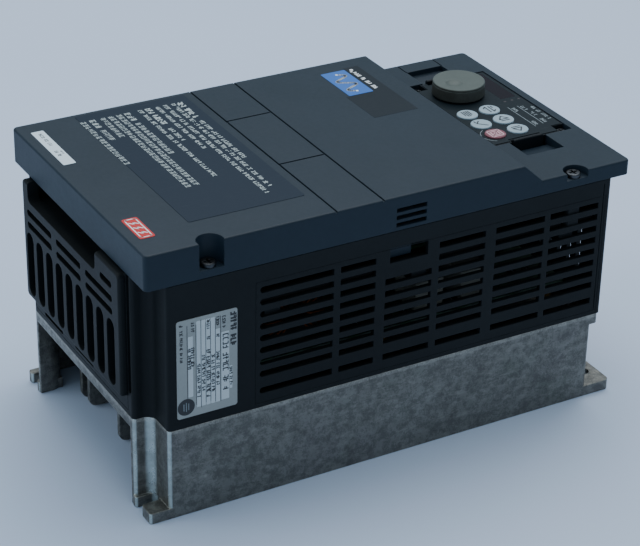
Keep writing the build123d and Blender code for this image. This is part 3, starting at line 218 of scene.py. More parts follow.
class Effects:
    """Shader groups that more than one finish uses. They give out values, masks and normals only."""

    def __init__(self) -> None:
        """Build each group once."""
        self.mottle = self._mottle()
        self.grain = self._grain()
        self.edges = self._edges()
        self.dust = self._dust()
        self.scratches = self._scratches()

    def _mottle(self) -> bpy.types.NodeTree:
        """Cloudy variation: two sizes of noise, stretched by a contrast."""
        web, given, out = new_group(
            "cloudy_mottle",
            [("Patches", FLOAT, 20.0), ("Speckle", FLOAT, 300.0), ("Contrast", FLOAT, 1.0)],
            [("Value", FLOAT)],
        )
        where = web.place()
        broad = web.noise(where, given["Patches"], 4.0, 0.6)
        fine = web.noise(where, given["Speckle"], 2.0)
        both = web.math("ADD", web.math("MULTIPLY", broad, 0.65), web.math("MULTIPLY", fine, 0.35))
        pulled = web.math("MULTIPLY", web.math("SUBTRACT", both, 0.5), given["Contrast"])
        web.feed(out["Value"], web.math("ADD", web.math("MULTIPLY", pulled, 2.4), 0.5, clamp=True))
        return web.tree

    def _grain(self) -> bpy.types.NodeTree:
        """Height of a spark-eroded mould surface: fine pits over a soft waviness."""
        web, given, out = new_group(
            "mould_grain",
            [("Pits", FLOAT, 1500.0), ("Depth", FLOAT, 1.0)],
            [("Height", FLOAT)],
        )
        where = web.place()
        pits = web.noise(where, given["Pits"], 3.0, 0.6)
        waves = web.noise(where, 60.0, 1.0)
        height = web.math("ADD", web.math("MULTIPLY", pits, given["Depth"]), web.math("MULTIPLY", waves, 0.6))
        web.feed(out["Height"], height)
        return web.tree

    def _edges(self) -> bpy.types.NodeTree:
        """Softened normal at corners, and a broken mask of edges, used for rubbed wear and in some finishes
        also for painted highlight.
        """
        web, given, out = new_group(
            "edge_wear_and_highlight_mask",
            [("Radius", FLOAT, 0.0005), ("Breakup", FLOAT, 160.0)],
            [("Mask", FLOAT), ("Normal", VECTOR)],
        )
        bevel = web.add("ShaderNodeBevel", {"samples": 4}, Radius=given["Radius"])
        flat = web.add("ShaderNodeNewGeometry").outputs["True Normal"]
        turned = web.math("SUBTRACT", 1.0, web.vector("DOT_PRODUCT", bevel.outputs[0], flat).outputs["Value"])
        where = web.place()
        broken = web.span(web.noise(where, given["Breakup"], 3.0, 0.7), 0.38, 0.66)
        web.feed(out["Mask"], web.math("MULTIPLY", web.span(turned, 0.02, 0.2), broken, clamp=True))
        web.feed(out["Normal"], bevel.outputs[0])
        return web.tree

    def _dust(self) -> bpy.types.NodeTree:
        """Mask of dust lying on what faces up."""
        web, given, out = new_group(
            "settled_dust", [("Clumps", FLOAT, 90.0), ("Amount", FLOAT, 0.2)], [("Mask", FLOAT)]
        )
        normal = web.facing()
        where = web.place()
        clumps = web.span(web.noise(where, given["Clumps"], 5.0, 0.7), 0.35, 0.75)
        upward = web.span(normal.outputs["Z"], 0.4, 0.95)
        web.feed(out["Mask"], web.math("MULTIPLY", web.math("MULTIPLY", upward, clumps), given["Amount"]))
        return web.tree

    def _scratches(self) -> bpy.types.NodeTree:
        """Mask of fine scratches and drawn lines along one direction."""
        web, given, out = new_group(
            "fine_scratches",
            [("Stretch", VECTOR, (1.0, 1.0, 1.0)), ("Scale", FLOAT, 900.0), ("Cut", FLOAT, 0.6)],
            [("Mask", FLOAT)],
        )
        where = web.place()
        drawn = web.vector("MULTIPLY", where, given["Stretch"])
        lines = web.noise(drawn.outputs[0], given["Scale"], 2.0, 0.6)
        web.feed(out["Mask"], web.span(lines, given["Cut"], 0.8))
        return web.tree


EFFECTS = Effects()


class Surface(NodeWeb):
    """One material under way: its node tree, its shader and the shared effects."""

    def __init__(self, name: str) -> None:
        """Start a node material with a bare shader."""
        self.material = bpy.data.materials.new(name)
        self.material.use_nodes = True
        self.material.node_tree.nodes.clear()
        super().__init__(self.material.node_tree)
        self.shader = self.add("ShaderNodeBsdfPrincipled")
        self.add("ShaderNodeOutputMaterial", Surface=self.shader.outputs[0])

    def use(self, group: bpy.types.NodeTree, **inputs: Any) -> bpy.types.Node:
        """Place one of the shared groups with its own values."""
        return self.add("ShaderNodeGroup", {"node_tree": group}, **inputs)

    def clouds(self, patches: float, speckle: float, contrast: float) -> Socket:
        """Cloudy variation from 0 to 1."""
        return self.use(EFFECTS.mottle, Patches=patches, Speckle=speckle, Contrast=contrast).outputs["Value"]

    def drawn(self, stretch: Point, scale: float, cut: float) -> Socket:
        """Mask of fine drawn lines and scratches."""
        return self.use(EFFECTS.scratches, Stretch=stretch, Scale=scale, Cut=cut).outputs["Mask"]

    def grain(self, pits: float, depth: float) -> Socket:
        """Height of a fine mould grain."""
        return self.use(EFFECTS.grain, Pits=pits, Depth=depth).outputs["Height"]

    def edges(self, radius: float, breakup: float) -> tuple[Socket, Socket]:
        """Mask of edges for rubbed wear and in some finishes painted highlight, and the softened normal."""
        outputs = self.use(EFFECTS.edges, Radius=radius, Breakup=breakup).outputs
        return outputs["Mask"], outputs["Normal"]

    def set(self, **values: Any) -> None:
        """Set or feed the shader's own sockets."""
        for key, value in values.items():
            self.feed(self.shader.inputs[key.replace("_", " ")], value)

    def relief(self, height: Any, strength: float, distance: float, normal: Any = None) -> None:
        """Put a bump into the shader's normal.

        Args:
            height: The height socket.
            strength: Share of the bump that shows.
            distance: Height of one unit, in metres.
            normal: A softened normal to start from, if any.
        """
        bump = self.add("ShaderNodeBump", Strength=strength, Distance=distance, Height=height)
        if normal is not None:
            self.feed(bump.inputs["Normal"], normal)
        self.feed(self.shader.inputs["Normal"], bump.outputs[0])


# ---------------------------------------------------------------- finishes


@dataclass(frozen=True)
class MouldedPlastic:
    """Injection-moulded plastic with a fine grain, paler rubbed edges that are partly wear and partly painted
    highlight, and a trace of dust.
    """

    name: str
    colour: Colour
    shade: Colour
    # Paler colour at the edges: wear, and painted highlight along the edges.
    worn: Colour
    roughness: float = 0.48
    grain: float = 0.5
    edge: float = 0.5 * MM
    edge_wear_and_highlight: float = 0.35
    dust: float = 0.012
    shine: float = 0.13
    dust_tint: Colour = tint("8b8d8a")

    def build(self) -> bpy.types.Material:
        """Make the material."""
        s = Surface(self.name)
        clouds = s.clouds(14.0, 420.0, 0.8)
        rubbed, normal = s.edges(self.edge, 140.0)
        dusty = s.use(EFFECTS.dust, Clumps=70.0, Amount=self.dust).outputs["Mask"]
        base = s.blend(clouds, self.colour, self.shade)
        # Paler edges: partly wear, partly painted highlight along the edges.
        base = s.over(rubbed, self.edge_wear_and_highlight, base, self.worn)
        base = s.blend(dusty, base, self.dust_tint)
        gloss = s.between(clouds, self.roughness - 0.05, self.roughness + 0.06)
        gloss = s.math("ADD", gloss, s.math("MULTIPLY", dusty, 0.5))
        height = s.grain(1700.0, self.grain)
        s.set(Base_Color=base, Roughness=gloss, Specular_IOR_Level=self.shine)
        s.relief(height, 0.35, 0.12 * MM, normal)
        return s.material


@dataclass(frozen=True)
class CastMetal:
    """Die-cast aluminium: stains, drag marks, pits, rubbed edges, a paler machined band at the top and a
    painted highlight on faces turned towards -Y and sideways.
    """

    name: str
    colour: Colour
    stain: Colour
    bright: Colour
    band_level: float
    roughness: float = 0.4
    warm_stain: Colour = tint("6f6a6c")
    green_stain: Colour = tint("5f675e")
    soot: Colour = tint("3d3f40")
    # Pale tint of the painted highlight on faces turned towards -Y and sideways.
    highlight_tint: Colour = tint("c2cfce")
    pit_shade: Colour = tint("1c1d1e")

    def build(self) -> bpy.types.Material:
        """Make the material."""
        s = Surface(self.name)
        where = s.place()
        broad = s.clouds(24.0, 160.0, 1.1)
        fine = s.clouds(260.0, 1500.0, 1.7)
        drag = s.drawn((1.0, 0.35, 1.0), 420.0, 0.52)
        hatch = s.drawn((1.0, 1.0, 0.7), 1500.0, 0.4)
        rubbed, normal = s.edges(0.9 * MM, 260.0)
        base = s.blend(broad, self.stain, self.colour)
        warm = s.span(s.noise(where, 38.0, 3.0), 0.52, 0.68)
        base = s.over(warm, 0.35, base, self.warm_stain)
        green = s.span(s.noise(where, 55.0, 3.0), 0.54, 0.7)
        base = s.over(green, 0.35, base, self.green_stain)
        base = s.blend(s.span(fine, 0.2, 0.8, 0.5, 0.0), base, self.soot)
        base = s.over(drag, 0.22, base, self.bright)
        # Painted highlight: faces turned partly towards -Y and partly sideways are blended towards the pale
        # tint, patchy by the broad clouds, and made a little less rough.
        facing = s.facing("Normal")
        toward = s.math("SUBTRACT", s.math("ABSOLUTE", facing.outputs["X"]), facing.outputs["Y"])
        highlight_faces = s.math("MULTIPLY", s.span(toward, 1.12, 1.36), s.span(broad, 0.1, 0.6, 0.5, 1.0))
        base = s.over(highlight_faces, 0.8, base, self.highlight_tint)
        cells = s.add("ShaderNodeTexVoronoi", {"feature": "F1"}, Vector=where, Scale=62.0)
        sparse = s.span(s.add("ShaderNodeSeparateColor", Color=cells.outputs["Color"]).outputs[0], 0.7, 0.72)
        pit = s.math("MULTIPLY", s.span(cells.outputs["Distance"], 0.035, 0.06, 1.0, 0.0), sparse)
        rim = s.math("MULTIPLY", s.span(cells.outputs["Distance"], 0.06, 0.1, 0.5, 0.0), sparse)
        base = s.blend(rim, base, self.bright)
        base = s.blend(pit, base, self.pit_shade)
        height_z = s.add("ShaderNodeSeparateXYZ", Vector=where).outputs["Z"]
        wander = s.math("MULTIPLY", s.math("SUBTRACT", s.noise(where, 45.0, 3.0), 0.5), 0.003)
        band = s.span(s.math("ADD", height_z, wander), self.band_level, self.band_level + 0.9 * MM)
        base = s.blend(s.math("MULTIPLY", band, s.between(hatch, 0.12, 0.6)), base, self.bright)
        base = s.over(rubbed, 0.9, base, self.bright)
        rough = s.between(fine, self.roughness + 0.1, self.roughness - 0.08)
        rough = s.math("SUBTRACT", rough, s.math("MULTIPLY", highlight_faces, 0.12))
        lumps = s.math("ADD", s.math("MULTIPLY", broad, 0.6), s.math("MULTIPLY", fine, 0.5))
        lumps = s.math("SUBTRACT", lumps, s.math("MULTIPLY", pit, 1.2))
        s.set(Base_Color=base, Roughness=rough, Metallic=0.75)
        s.relief(lumps, 0.6, 0.4 * MM, normal)
        return s.material


@dataclass(frozen=True)
class PlatedMetal:
    """Turned, plated or drawn metal with fine lines and a dulled film."""

    name: str
    colour: Colour
    tarnish: Colour
    roughness: float = 0.3
    lines: Point = (1.0, 1.0, 0.05)

    def build(self) -> bpy.types.Material:
        """Make the material."""
        s = Surface(self.name)
        clouds = s.clouds(240.0, 1600.0, 1.0)
        drawn = s.drawn(self.lines, 2600.0, 0.5)
        rubbed, normal = s.edges(0.2 * MM, 500.0)
        base = s.blend(clouds, self.colour, self.tarnish)
        base = s.over(rubbed, 0.5, base, self.colour)
        s.set(
            Base_Color=base,
            Roughness=s.between(clouds, self.roughness, self.roughness + 0.2),
            Metallic=0.95,
        )
        s.relief(drawn, 0.3, 0.04 * MM, normal)
        return s.material


@dataclass(frozen=True)
class PrintedFilm:
    """Printed polyester sheet: even colour, a faint orange-peel gloss and fine rubbing."""

    name: str
    colour: Colour
    rubbed: Colour
    roughness: float = 0.34
    metal: float = 0.0
    shine: float = 0.12

    def build(self) -> bpy.types.Material:
        """Make the material."""
        s = Surface(self.name)
        clouds = s.clouds(60.0, 700.0, 0.7)
        lines = s.drawn((1.0, 0.06, 1.0), 1500.0, 0.62)
        base = s.over(clouds, 0.6, self.colour, self.rubbed)
        base = s.over(lines, 0.03, base, tint("b8bcc0"))
        peel = s.grain(800.0, 0.5)
        s.set(
            Base_Color=base,
            Roughness=s.between(clouds, self.roughness - 0.05, self.roughness + 0.08),
            Metallic=self.metal,
            Specular_IOR_Level=self.shine,
        )
        s.relief(peel, 0.2, 0.06 * MM)
        return s.material


@dataclass(frozen=True)
class Ink:
    """Screen-printed ink, slightly broken where it has been rubbed."""

    name: str
    colour: Colour
    faded: Colour

    def build(self) -> bpy.types.Material:
        """Make the material."""
        s = Surface(self.name)
        clouds = s.clouds(300.0, 1800.0, 1.2)
        s.set(
            Base_Color=s.over(clouds, 0.7, self.colour, self.faded),
            Roughness=s.between(clouds, 0.4, 0.6),
        )
        s.relief(clouds, 0.15, 0.03 * MM)
        return s.material


@dataclass(frozen=True)
class SoftRubber:
    """Silicone or soft-touch paint with a powdery face and a darker rubbed rim."""

    name: str
    colour: Colour
    worn: Colour
    roughness: float = 0.62

    def build(self) -> bpy.types.Material:
        """Make the material."""
        s = Surface(self.name)
        clouds = s.clouds(120.0, 900.0, 0.9)
        rubbed, normal = s.edges(0.35 * MM, 260.0)
        base = s.over(clouds, 0.5, self.colour, self.worn)
        base = s.over(rubbed, 0.4, base, self.worn)
        s.set(
            Base_Color=base,
            Roughness=s.between(clouds, self.roughness - 0.06, self.roughness + 0.08),
            Sheen_Weight=0.15,
        )
        s.relief(s.grain(2400.0, 0.7), 0.3, 0.06 * MM, normal)
        return s.material


@dataclass(frozen=True)
class DialPaint:
    """Soft grey-green paint on the dial's face over a darker grip, with a paler rim that is a painted
    highlight along the edges.
    """

    name: str
    face: Colour
    grip: Colour
    # Pale colour of the painted highlight on the rim; the clouds also mix a little of it in everywhere.
    rim: Colour

    def build(self) -> bpy.types.Material:
        """Make the material."""
        s = Surface(self.name)
        clouds = s.clouds(120.0, 1400.0, 0.8)
        rubbed, normal = s.edges(0.3 * MM, 200.0)
        facing = s.facing()
        base = s.blend(s.span(facing.outputs["Z"], 0.35, 0.6), self.grip, self.face)
        base = s.over(clouds, 0.2, base, self.rim)
        # Painted highlight: the edge mask blends the rim colour along the dial's edges.
        base = s.over(rubbed, 0.7, base, self.rim)
        s.set(Base_Color=base, Roughness=s.between(clouds, 0.46, 0.58), Specular_IOR_Level=0.35)
        s.relief(s.grain(2400.0, 0.8), 0.3, 0.06 * MM, normal)
        return s.material


@dataclass(frozen=True)
class ClearPlastic:
    """Tinted clear moulding for the display window and the lamps."""

    name: str
    colour: Colour
    through: float
    roughness: float = 0.12
    shine: float = 0.4

    def build(self) -> bpy.types.Material:
        """Make the material."""
        s = Surface(self.name)
        clouds = s.clouds(150.0, 900.0, 0.6)
        deeper = tuple(c * 0.7 for c in self.colour)
        s.set(
            Base_Color=s.blend(clouds, self.colour, deeper),
            Roughness=s.between(clouds, self.roughness, self.roughness + 0.06),
            Transmission_Weight=self.through,
            Specular_IOR_Level=self.shine,
        )
        s.relief(s.grain(500.0, 0.2), 0.08, 0.04 * MM)
        return s.material


@dataclass(frozen=True)
class BoardLaminate:
    """Solder mask over copper tracks on a glass laminate. The colours that it is given are darkened as
    painted shade for parts inside the drive.
    """

    name: str
    mask: Colour
    track: Colour

    def build(self) -> bpy.types.Material:
        """Make the material."""
        s = Surface(self.name)
        where = s.place()
        turned = s.add("ShaderNodeMapping", Vector=where, Rotation=(0.0, 0.0, 0.785))
        grid = {"distance": "CHEBYCHEV", "feature": "F1"}
        cells = s.add("ShaderNodeTexVoronoi", grid, Vector=where, Scale=210.0).outputs["Distance"]
        wide = s.add("ShaderNodeTexVoronoi", grid, Vector=turned.outputs[0], Scale=70.0).outputs["Distance"]
        tracks = s.math("MAXIMUM", s.span(cells, 0.42, 0.46), s.span(wide, 0.47, 0.5))
        clouds = s.clouds(40.0, 800.0, 0.7)
        base = s.over(tracks, 0.6, self.mask, self.track)
        base = s.over(clouds, 0.25, base, tuple(c * 0.5 for c in self.mask))
        s.set(Base_Color=base, Roughness=s.between(clouds, 0.28, 0.42))
        s.relief(tracks, 0.35, 0.06 * MM)
        return s.material


@dataclass(frozen=True)
class StudioPaper:
    """Pale seamless paper under and behind the drive."""

    name: str
    colour: Colour
    far: Colour

    def build(self) -> bpy.types.Material:
        """Make the material."""
        s = Surface(self.name)
        where = s.place()
        soft = s.noise(where, 1.4, 2.0)
        s.set(
            Base_Color=s.blend(s.span(soft, 0.3, 0.7), self.colour, self.far),
            Roughness=s.between(soft, 0.75, 0.9),
        )
        return s.material


FINISHES: dict[str, Any] = {
    "cast": CastMetal("cast_aluminium", *tints("84847f 666560 b9b7ae"), 45.3 * MM),
    "case": MouldedPlastic("case_plastic", *tints("181d20 121618 3a4247")),
    "cover": MouldedPlastic("cover_plastic", *tints("222f3a 1d2933 46545e"), roughness=0.44, shine=0.17),
    "panel": MouldedPlastic("panel_plastic", *tints("161d22 10161b 39454d"), 0.42),
    "black": MouldedPlastic("black_thermoset", *tints("141517 0e0f10 34363a"), 0.5),
    "module": MouldedPlastic("module_plastic", *tints("1c1d1f 131415 3a3c3f"), 0.55),
    # Painted shade: the relays' and headers' white nylon is greyed down because they lie in shade inside the
    # drive.
    "white": MouldedPlastic("white_nylon_in_painted_shade", *tints("85867f 74756e a3a49c"), 0.5),
    "sleeve": MouldedPlastic("capacitor_sleeve", *tints("121724 0d111b 2c3446"), 0.24, 0.1),
    "tape": MouldedPlastic("winding_tape", *tints("8a7020 6f5914 a58c3e"), 0.3, 0.2),
    "ribbon": MouldedPlastic("ribbon_insulation", *tints("5d6266 4e5356 808487"), 0.4, 0.1),
    "core": MouldedPlastic("ferrite_core", *tints("20211f 171816 3b3c39"), 0.6, 0.8),
    "face": PrintedFilm("panel_film", *tints("182126 1c262b"), 0.44, 0.0, 0.1),
    "dark_film": PrintedFilm("dark_label_film", *tints("1a2734 1d2a38"), 0.44, 0.0, 0.12),
    "patch_film": PrintedFilm("badge_patch_film", *tints("1a2229 1d262d"), 0.42, 0.0, 0.13),
    "white_film": PrintedFilm("white_label_film", *tints("d3e3ec c6d7e1"), 0.42),
    "red_film": PrintedFilm("red_label_film", *tints("c83a38 b64446"), 0.4),
    "blue_film": PrintedFilm("blue_badge_film", *tints("3f6cb4 4875b8"), 0.32),
    "plate": PrintedFilm("rating_plate_film", *tints("9b9f9c 868a88"), 0.36, 0.3, 0.5),
    "plate_field": PrintedFilm("rating_plate_field", *tints("c8d1d3 b5bec1"), 0.42, 0.05, 0.5),
    "pale_ink": Ink("pale_ink", *tints("bcc8c8 9aa6a8")),
    "grey_ink": Ink("grey_ink", *tints("8b969b 677379")),
    "white_ink": Ink("white_ink", *tints("e8edf0 ccd3d8")),
    "black_ink": Ink("black_ink", *tints("1b1e22 2f3338")),
    "rose_ink": Ink("rose_ink", *tints("d6b3ba bb939c")),
    "key": SoftRubber("key_silicone", *tints("97acb8 7f95a2")),
    "stop_key": SoftRubber("stop_key_silicone", *tints("6f3442 7b414d")),
    "dial": DialPaint("dial_paint", *tints("434c49 2c2b27 7b867f")),
    "lens": ClearPlastic("smoked_window", tint("1c151d"), 0.08, 0.2, 0.1),
    "lamp": ClearPlastic("lamp_lens", tint("4b4448"), 0.3, 0.16),
    "clear": ClearPlastic("neon_lamp", tint("8a4038"), 0.4, 0.16),
    "steel": PlatedMetal("zinc_plated_steel", *tints("8f9397 6c6f73")),
    "dark_steel": PlatedMetal("blackened_steel", *tints("5a5d61 26282b"), 0.28),
    "brass": PlatedMetal("turned_brass", *tints("a4853f 7b602c")),
    "tinned": PlatedMetal("tinned_copper", *tints("99968e 737066"), 0.26),
    # Painted shade: the choke's enamelled copper is darkened because it lies in shade inside the drive.
    "enamel": PlatedMetal("enamelled_wire_in_painted_shade", *tints("6d3a1c 482310"), 0.3),
    # Painted shade: the boards' green and copper are kept dark because they lie in shade inside the drive.
    "board": BoardLaminate("board_laminate", *tints("0b2b1b 1a4a2e")),
    "paper": StudioPaper("studio_paper", *tints("c8d7ed bdcee6")),
}


class Stock:
    """Finishes made on first use, so each is one material."""

    made: dict[str, bpy.types.Material] = {}

    @classmethod
    def get(cls, key: str) -> bpy.types.Material:
        """The material of a finish, by its key."""
        if key not in cls.made:
            cls.made[key] = FINISHES[key].build()
        return cls.made[key]


# ---------------------------------------------------------------- shapes and printing


def dress(finish: str, *nodes: str) -> None:
    """Give CAD nodes' objects their finish."""
    for node in nodes:
        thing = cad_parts[node]
        if not thing.material_slots:
            thing.data.materials.append(None)
        for slot in thing.material_slots:
            slot.material = Stock.get(finish)


def mount(thing: bpy.types.Object, body: str) -> None:
    """Let a finished piece ride on its body, and log its name, body and face count."""
    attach(thing, body)
    log.info("%s rides on %s, %d faces", thing.name, body, len(thing.data.polygons))


def mesh_object(name: str, mesh: bmesh.types.BMesh, finish: str) -> bpy.types.Object:
    """Turn a bmesh into an object at the origin, with its normals outwards.

    Args:
        name: Name of the piece.
        mesh: The built mesh, freed here.
        finish: Key of its finish.

    Returns:
        The linked object.
    """
    bmesh.ops.recalc_face_normals(mesh, faces=mesh.faces)
    data = bpy.data.meshes.new(name)
    mesh.to_mesh(data)
    mesh.free()
    thing = bpy.data.objects.new(name, data)
    bpy.context.scene.collection.objects.link(thing)
    data.materials.append(Stock.get(finish))
    return thing


class Side(Enum):
    """The side of the drive that a printed mark lies on, as the axes of its width, height and thickness."""

    FRONT = (0, 1, 2)
    RIGHT = (1, 2, 0)

    def place(self, across: float, up: float, level: float) -> Point:
        """A point on this side, from millimetres to metres."""
        out = [0.0, 0.0, 0.0]
        for axis, value in zip(self.value, (across, up, level)):
            out[axis] = value * MM
        return tuple(out)


@dataclass
class Stroke:
    """One printed bar: its centre and size in millimetres."""

    across: float
    up: float
    width: float
    height: float


@dataclass
class Printing:
    """Bars of ink placed by a Geometry Nodes tree: one instance for each point, sized by an attribute."""

    thickness: float = 0.06
    dropout: float = 0.04
    seed: int = 7
    tree: bpy.types.NodeTree | None = field(default=None, repr=False)

    def _build_tree(self) -> bpy.types.NodeTree:
        """Build the tree that turns points into bars of ink."""
        web, given, out = new_group(
            "printed_bars",
            [
                ("Geometry", "NodeSocketGeometry", None),
                ("Dropout", FLOAT, 0.0),
                ("Spread", FLOAT, 0.1),
                ("Seed", "NodeSocketInt", 0),
                ("Ink", "NodeSocketMaterial", None),
            ],
            [("Geometry", "NodeSocketGeometry")],
            "GeometryNodeTree",
        )
        chosen = web.chance("BOOLEAN", Probability=given["Dropout"], Seed=given["Seed"])
        kept = web.add("GeometryNodeDeleteGeometry", Geometry=given["Geometry"], Selection=chosen)
        low = web.math("SUBTRACT", 1.0, given["Spread"])
        vary = web.chance("FLOAT", Min=low, Max=1.0, Seed=given["Seed"])
        scaled = web.add("ShaderNodeVectorMath", {"operation": "SCALE"})
        web.feed(scaled.inputs[0], web.attribute("size"))
        web.feed(scaled.inputs["Scale"], vary)
        cube = web.add("GeometryNodeMeshCube", Size=(1.0, 1.0, 1.0))
        bars = web.add(
            "GeometryNodeInstanceOnPoints",
            Points=kept.outputs[0],
            Instance=cube.outputs["Mesh"],
            Scale=scaled.outputs[0],
        )
        web.coat(bars.outputs[0], given["Ink"], out["Geometry"])
        return web.tree

    def print(
        self, name: str, strokes: Iterable[Stroke], side: Side, level: float, ink: str, body: str
    ) -> None:
        """Print bars on one side of the drive.

        Args:
            name: Name of the piece.
            strokes: The bars, in millimetres.
            side: The side that they lie on.
            level: Height of the printed face along the side's normal, in millimetres.
            ink: Key of the ink.
            body: The body that carries the print.
        """
        if self.tree is None:
            self.tree = self._build_tree()
        strokes = list(strokes)
        data = bpy.data.meshes.new(name + "_points")
        lift = level + self.thickness / 2
        data.from_pydata([side.place(s.across, s.up, lift) for s in strokes], [], [])
        sizes = data.attributes.new("size", "FLOAT_VECTOR", "POINT")
        for item, stroke in zip(sizes.data, strokes):
            item.vector = side.place(stroke.width, stroke.height, self.thickness)
        inputs = {"Dropout": self.dropout, "Seed": self.seed, "Ink": Stock.get(ink)}
        grow(name, data, self.tree, inputs, body)


PRINTING = Printing()


def grow(
    name: str, data: bpy.types.Mesh, tree: bpy.types.NodeTree, inputs: dict[str, Any], body: str
) -> None:
    """Run a Geometry Nodes tree on a mesh and keep the result as a plain mesh.

    Args:
        name: Name of the piece.
        data: The mesh that the tree starts from.
        tree: The tree.
        inputs: Values by the names of the tree's inputs.
        body: The body that carries the piece.
    """
    seedling = bpy.data.objects.new(name + "_seedling", data)
    bpy.context.scene.collection.objects.link(seedling)
    modifier = seedling.modifiers.new("growth", "NODES")
    modifier.node_group = tree
    for item in tree.interface.items_tree:
        if item.item_type == "SOCKET" and item.in_out == "INPUT" and item.name in inputs:
            modifier[item.identifier] = inputs[item.name]
    graph = bpy.context.evaluated_depsgraph_get()
    mesh = bpy.data.meshes.new_from_object(seedling.evaluated_get(graph))
    mesh.name = name
    seedling.modifiers.remove(modifier)
    bpy.data.objects.remove(seedling)
    thing = bpy.data.objects.new(name, mesh)
    bpy.context.scene.collection.objects.link(thing)
    mount(thing, body)


def glyph_line(
    rng: random.Random,
    start: float,
    end: float,
    up: float,
    height: float,
    weight: float,
    square: bool = False,
) -> list[Stroke]:
    """A line of meaningless marks that stands for small print.

    Args:
        rng: Source of chance, seeded by the caller.
        start: Left end, in millimetres.
        end: Right end, in millimetres.
        up: Centre of the line.
        height: Height of a mark.
        weight: Thickness of a stroke, as a share of the height.
        square: True for dense square marks, False for narrow ones with gaps between groups.

    Returns:
        The strokes.
    """
    strokes, across, run = [], start, 0
    pen = height * weight
    advance = height * (1.12 if square else 0.66)
    while across + advance <= end:
        wide = advance * 0.74
        if square or run < rng.randint(2, 8):
            middle = across + wide / 2
            for share in rng.sample((-0.42, -0.14, 0.14, 0.42), 2 if not square else 3):
                strokes.append(Stroke(middle, up + share * height, wide, pen * 0.8))
            for share in rng.sample((0.12, 0.5, 0.88), 1 + int(square)):
                strokes.append(Stroke(across + share * wide, up, pen, height))
            run += 1
        else:
            run = 0
        across += advance
    return strokes


def outline(left: float, right: float, low: float, high: float, pen: float) -> list[Stroke]:
    """The four bars of a frame, in millimetres."""
    across, up = (left + right) / 2, (low + high) / 2
    return [
        Stroke(across, low, right - left, pen),
        Stroke(across, high, right - left, pen),
        Stroke(left, up, pen, high - low),
        Stroke(right, up, pen, high - low),
    ]


def rounded(left: float, right: float, low: float, high: float, radius: float, steps: int) -> list[Spot]:
    """Corners of a rectangle with rounded corners, in millimetres."""
    points = []
    for cx, cy, first in (
        (right - radius, high - radius, 0),
        (left + radius, high - radius, 90),
        (left + radius, low + radius, 180),
        (right - radius, low + radius, 270),
    ):
        for k in range(steps + 1):
            angle = math.radians(first + 90 * k / steps)
            points.append((cx + radius * math.cos(angle), cy + radius * math.sin(angle)))
    return points


def disc(across: float, up: float, radius: float, steps: int = 40) -> list[Spot]:
    """Corners of a round plate, in millimetres."""
    turns = [2 * math.pi * k / steps for k in range(steps)]
    return [(across + radius * math.cos(t), up + radius * math.sin(t)) for t in turns]


def ribbon(path: Sequence[Spot], pen: float) -> list[list[Spot]]:
    """Four-cornered pieces of a line of even width along a path, in millimetres."""
    pieces = []
    for (x0, y0), (x1, y1) in zip(path, path[1:]):
        length = math.hypot(x1 - x0, y1 - y0)
        nx, ny = (y0 - y1) / length * pen / 2, (x1 - x0) / length * pen / 2
        ex, ey = (x1 - x0) / length * pen / 4, (y1 - y0) / length * pen / 4
        first, last = (x0 - ex, y0 - ey), (x1 + ex, y1 + ey)
        ends = ((first, 1), (last, 1), (last, -1), (first, -1))
        pieces.append([(x + s * nx, y + s * ny) for (x, y), s in ends])
    return pieces


def plates(
    name: str,
    outlines: Iterable[Sequence[Spot]],
    side: Side,
    level: float,
    thick: float,
    finish: str,
    body: str,
) -> None:
    """Lay thin plates of any outline on one side of the drive, as one piece.

    Args:
        name: Name of the piece.
        outlines: The corners of each plate, in millimetres.
        side: The side that they lie on.
        level: Height of their underside, in millimetres.
        thick: Thickness, in millimetres.
        finish: Key of their finish.
        body: The body that carries them.
    """
    mesh = bmesh.new()
    for corners in outlines:
        low, high = (
            [mesh.verts.new(side.place(a, u, z)) for a, u in corners] for z in (level, level + thick)
        )
        mesh.faces.new(low)
        mesh.faces.new(high)
        for wall in zip(low, low[1:] + low[:1], high[1:] + high[:1], high):
            mesh.faces.new(wall)
    mount(mesh_object(name, mesh, finish), body)


def corners_of(node: str) -> tuple[Point, Point]:
    """Lowest and highest corner of a CAD node's box, in millimetres."""
    low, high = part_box(node)
    return tuple(v / MM for v in low), tuple(v / MM for v in high)


def top_of(node: str) -> float:
    """Highest level of a CAD node, in millimetres."""
    return corners_of(node)[1][2]


# ---------------------------------------------------------------- sub-assemblies


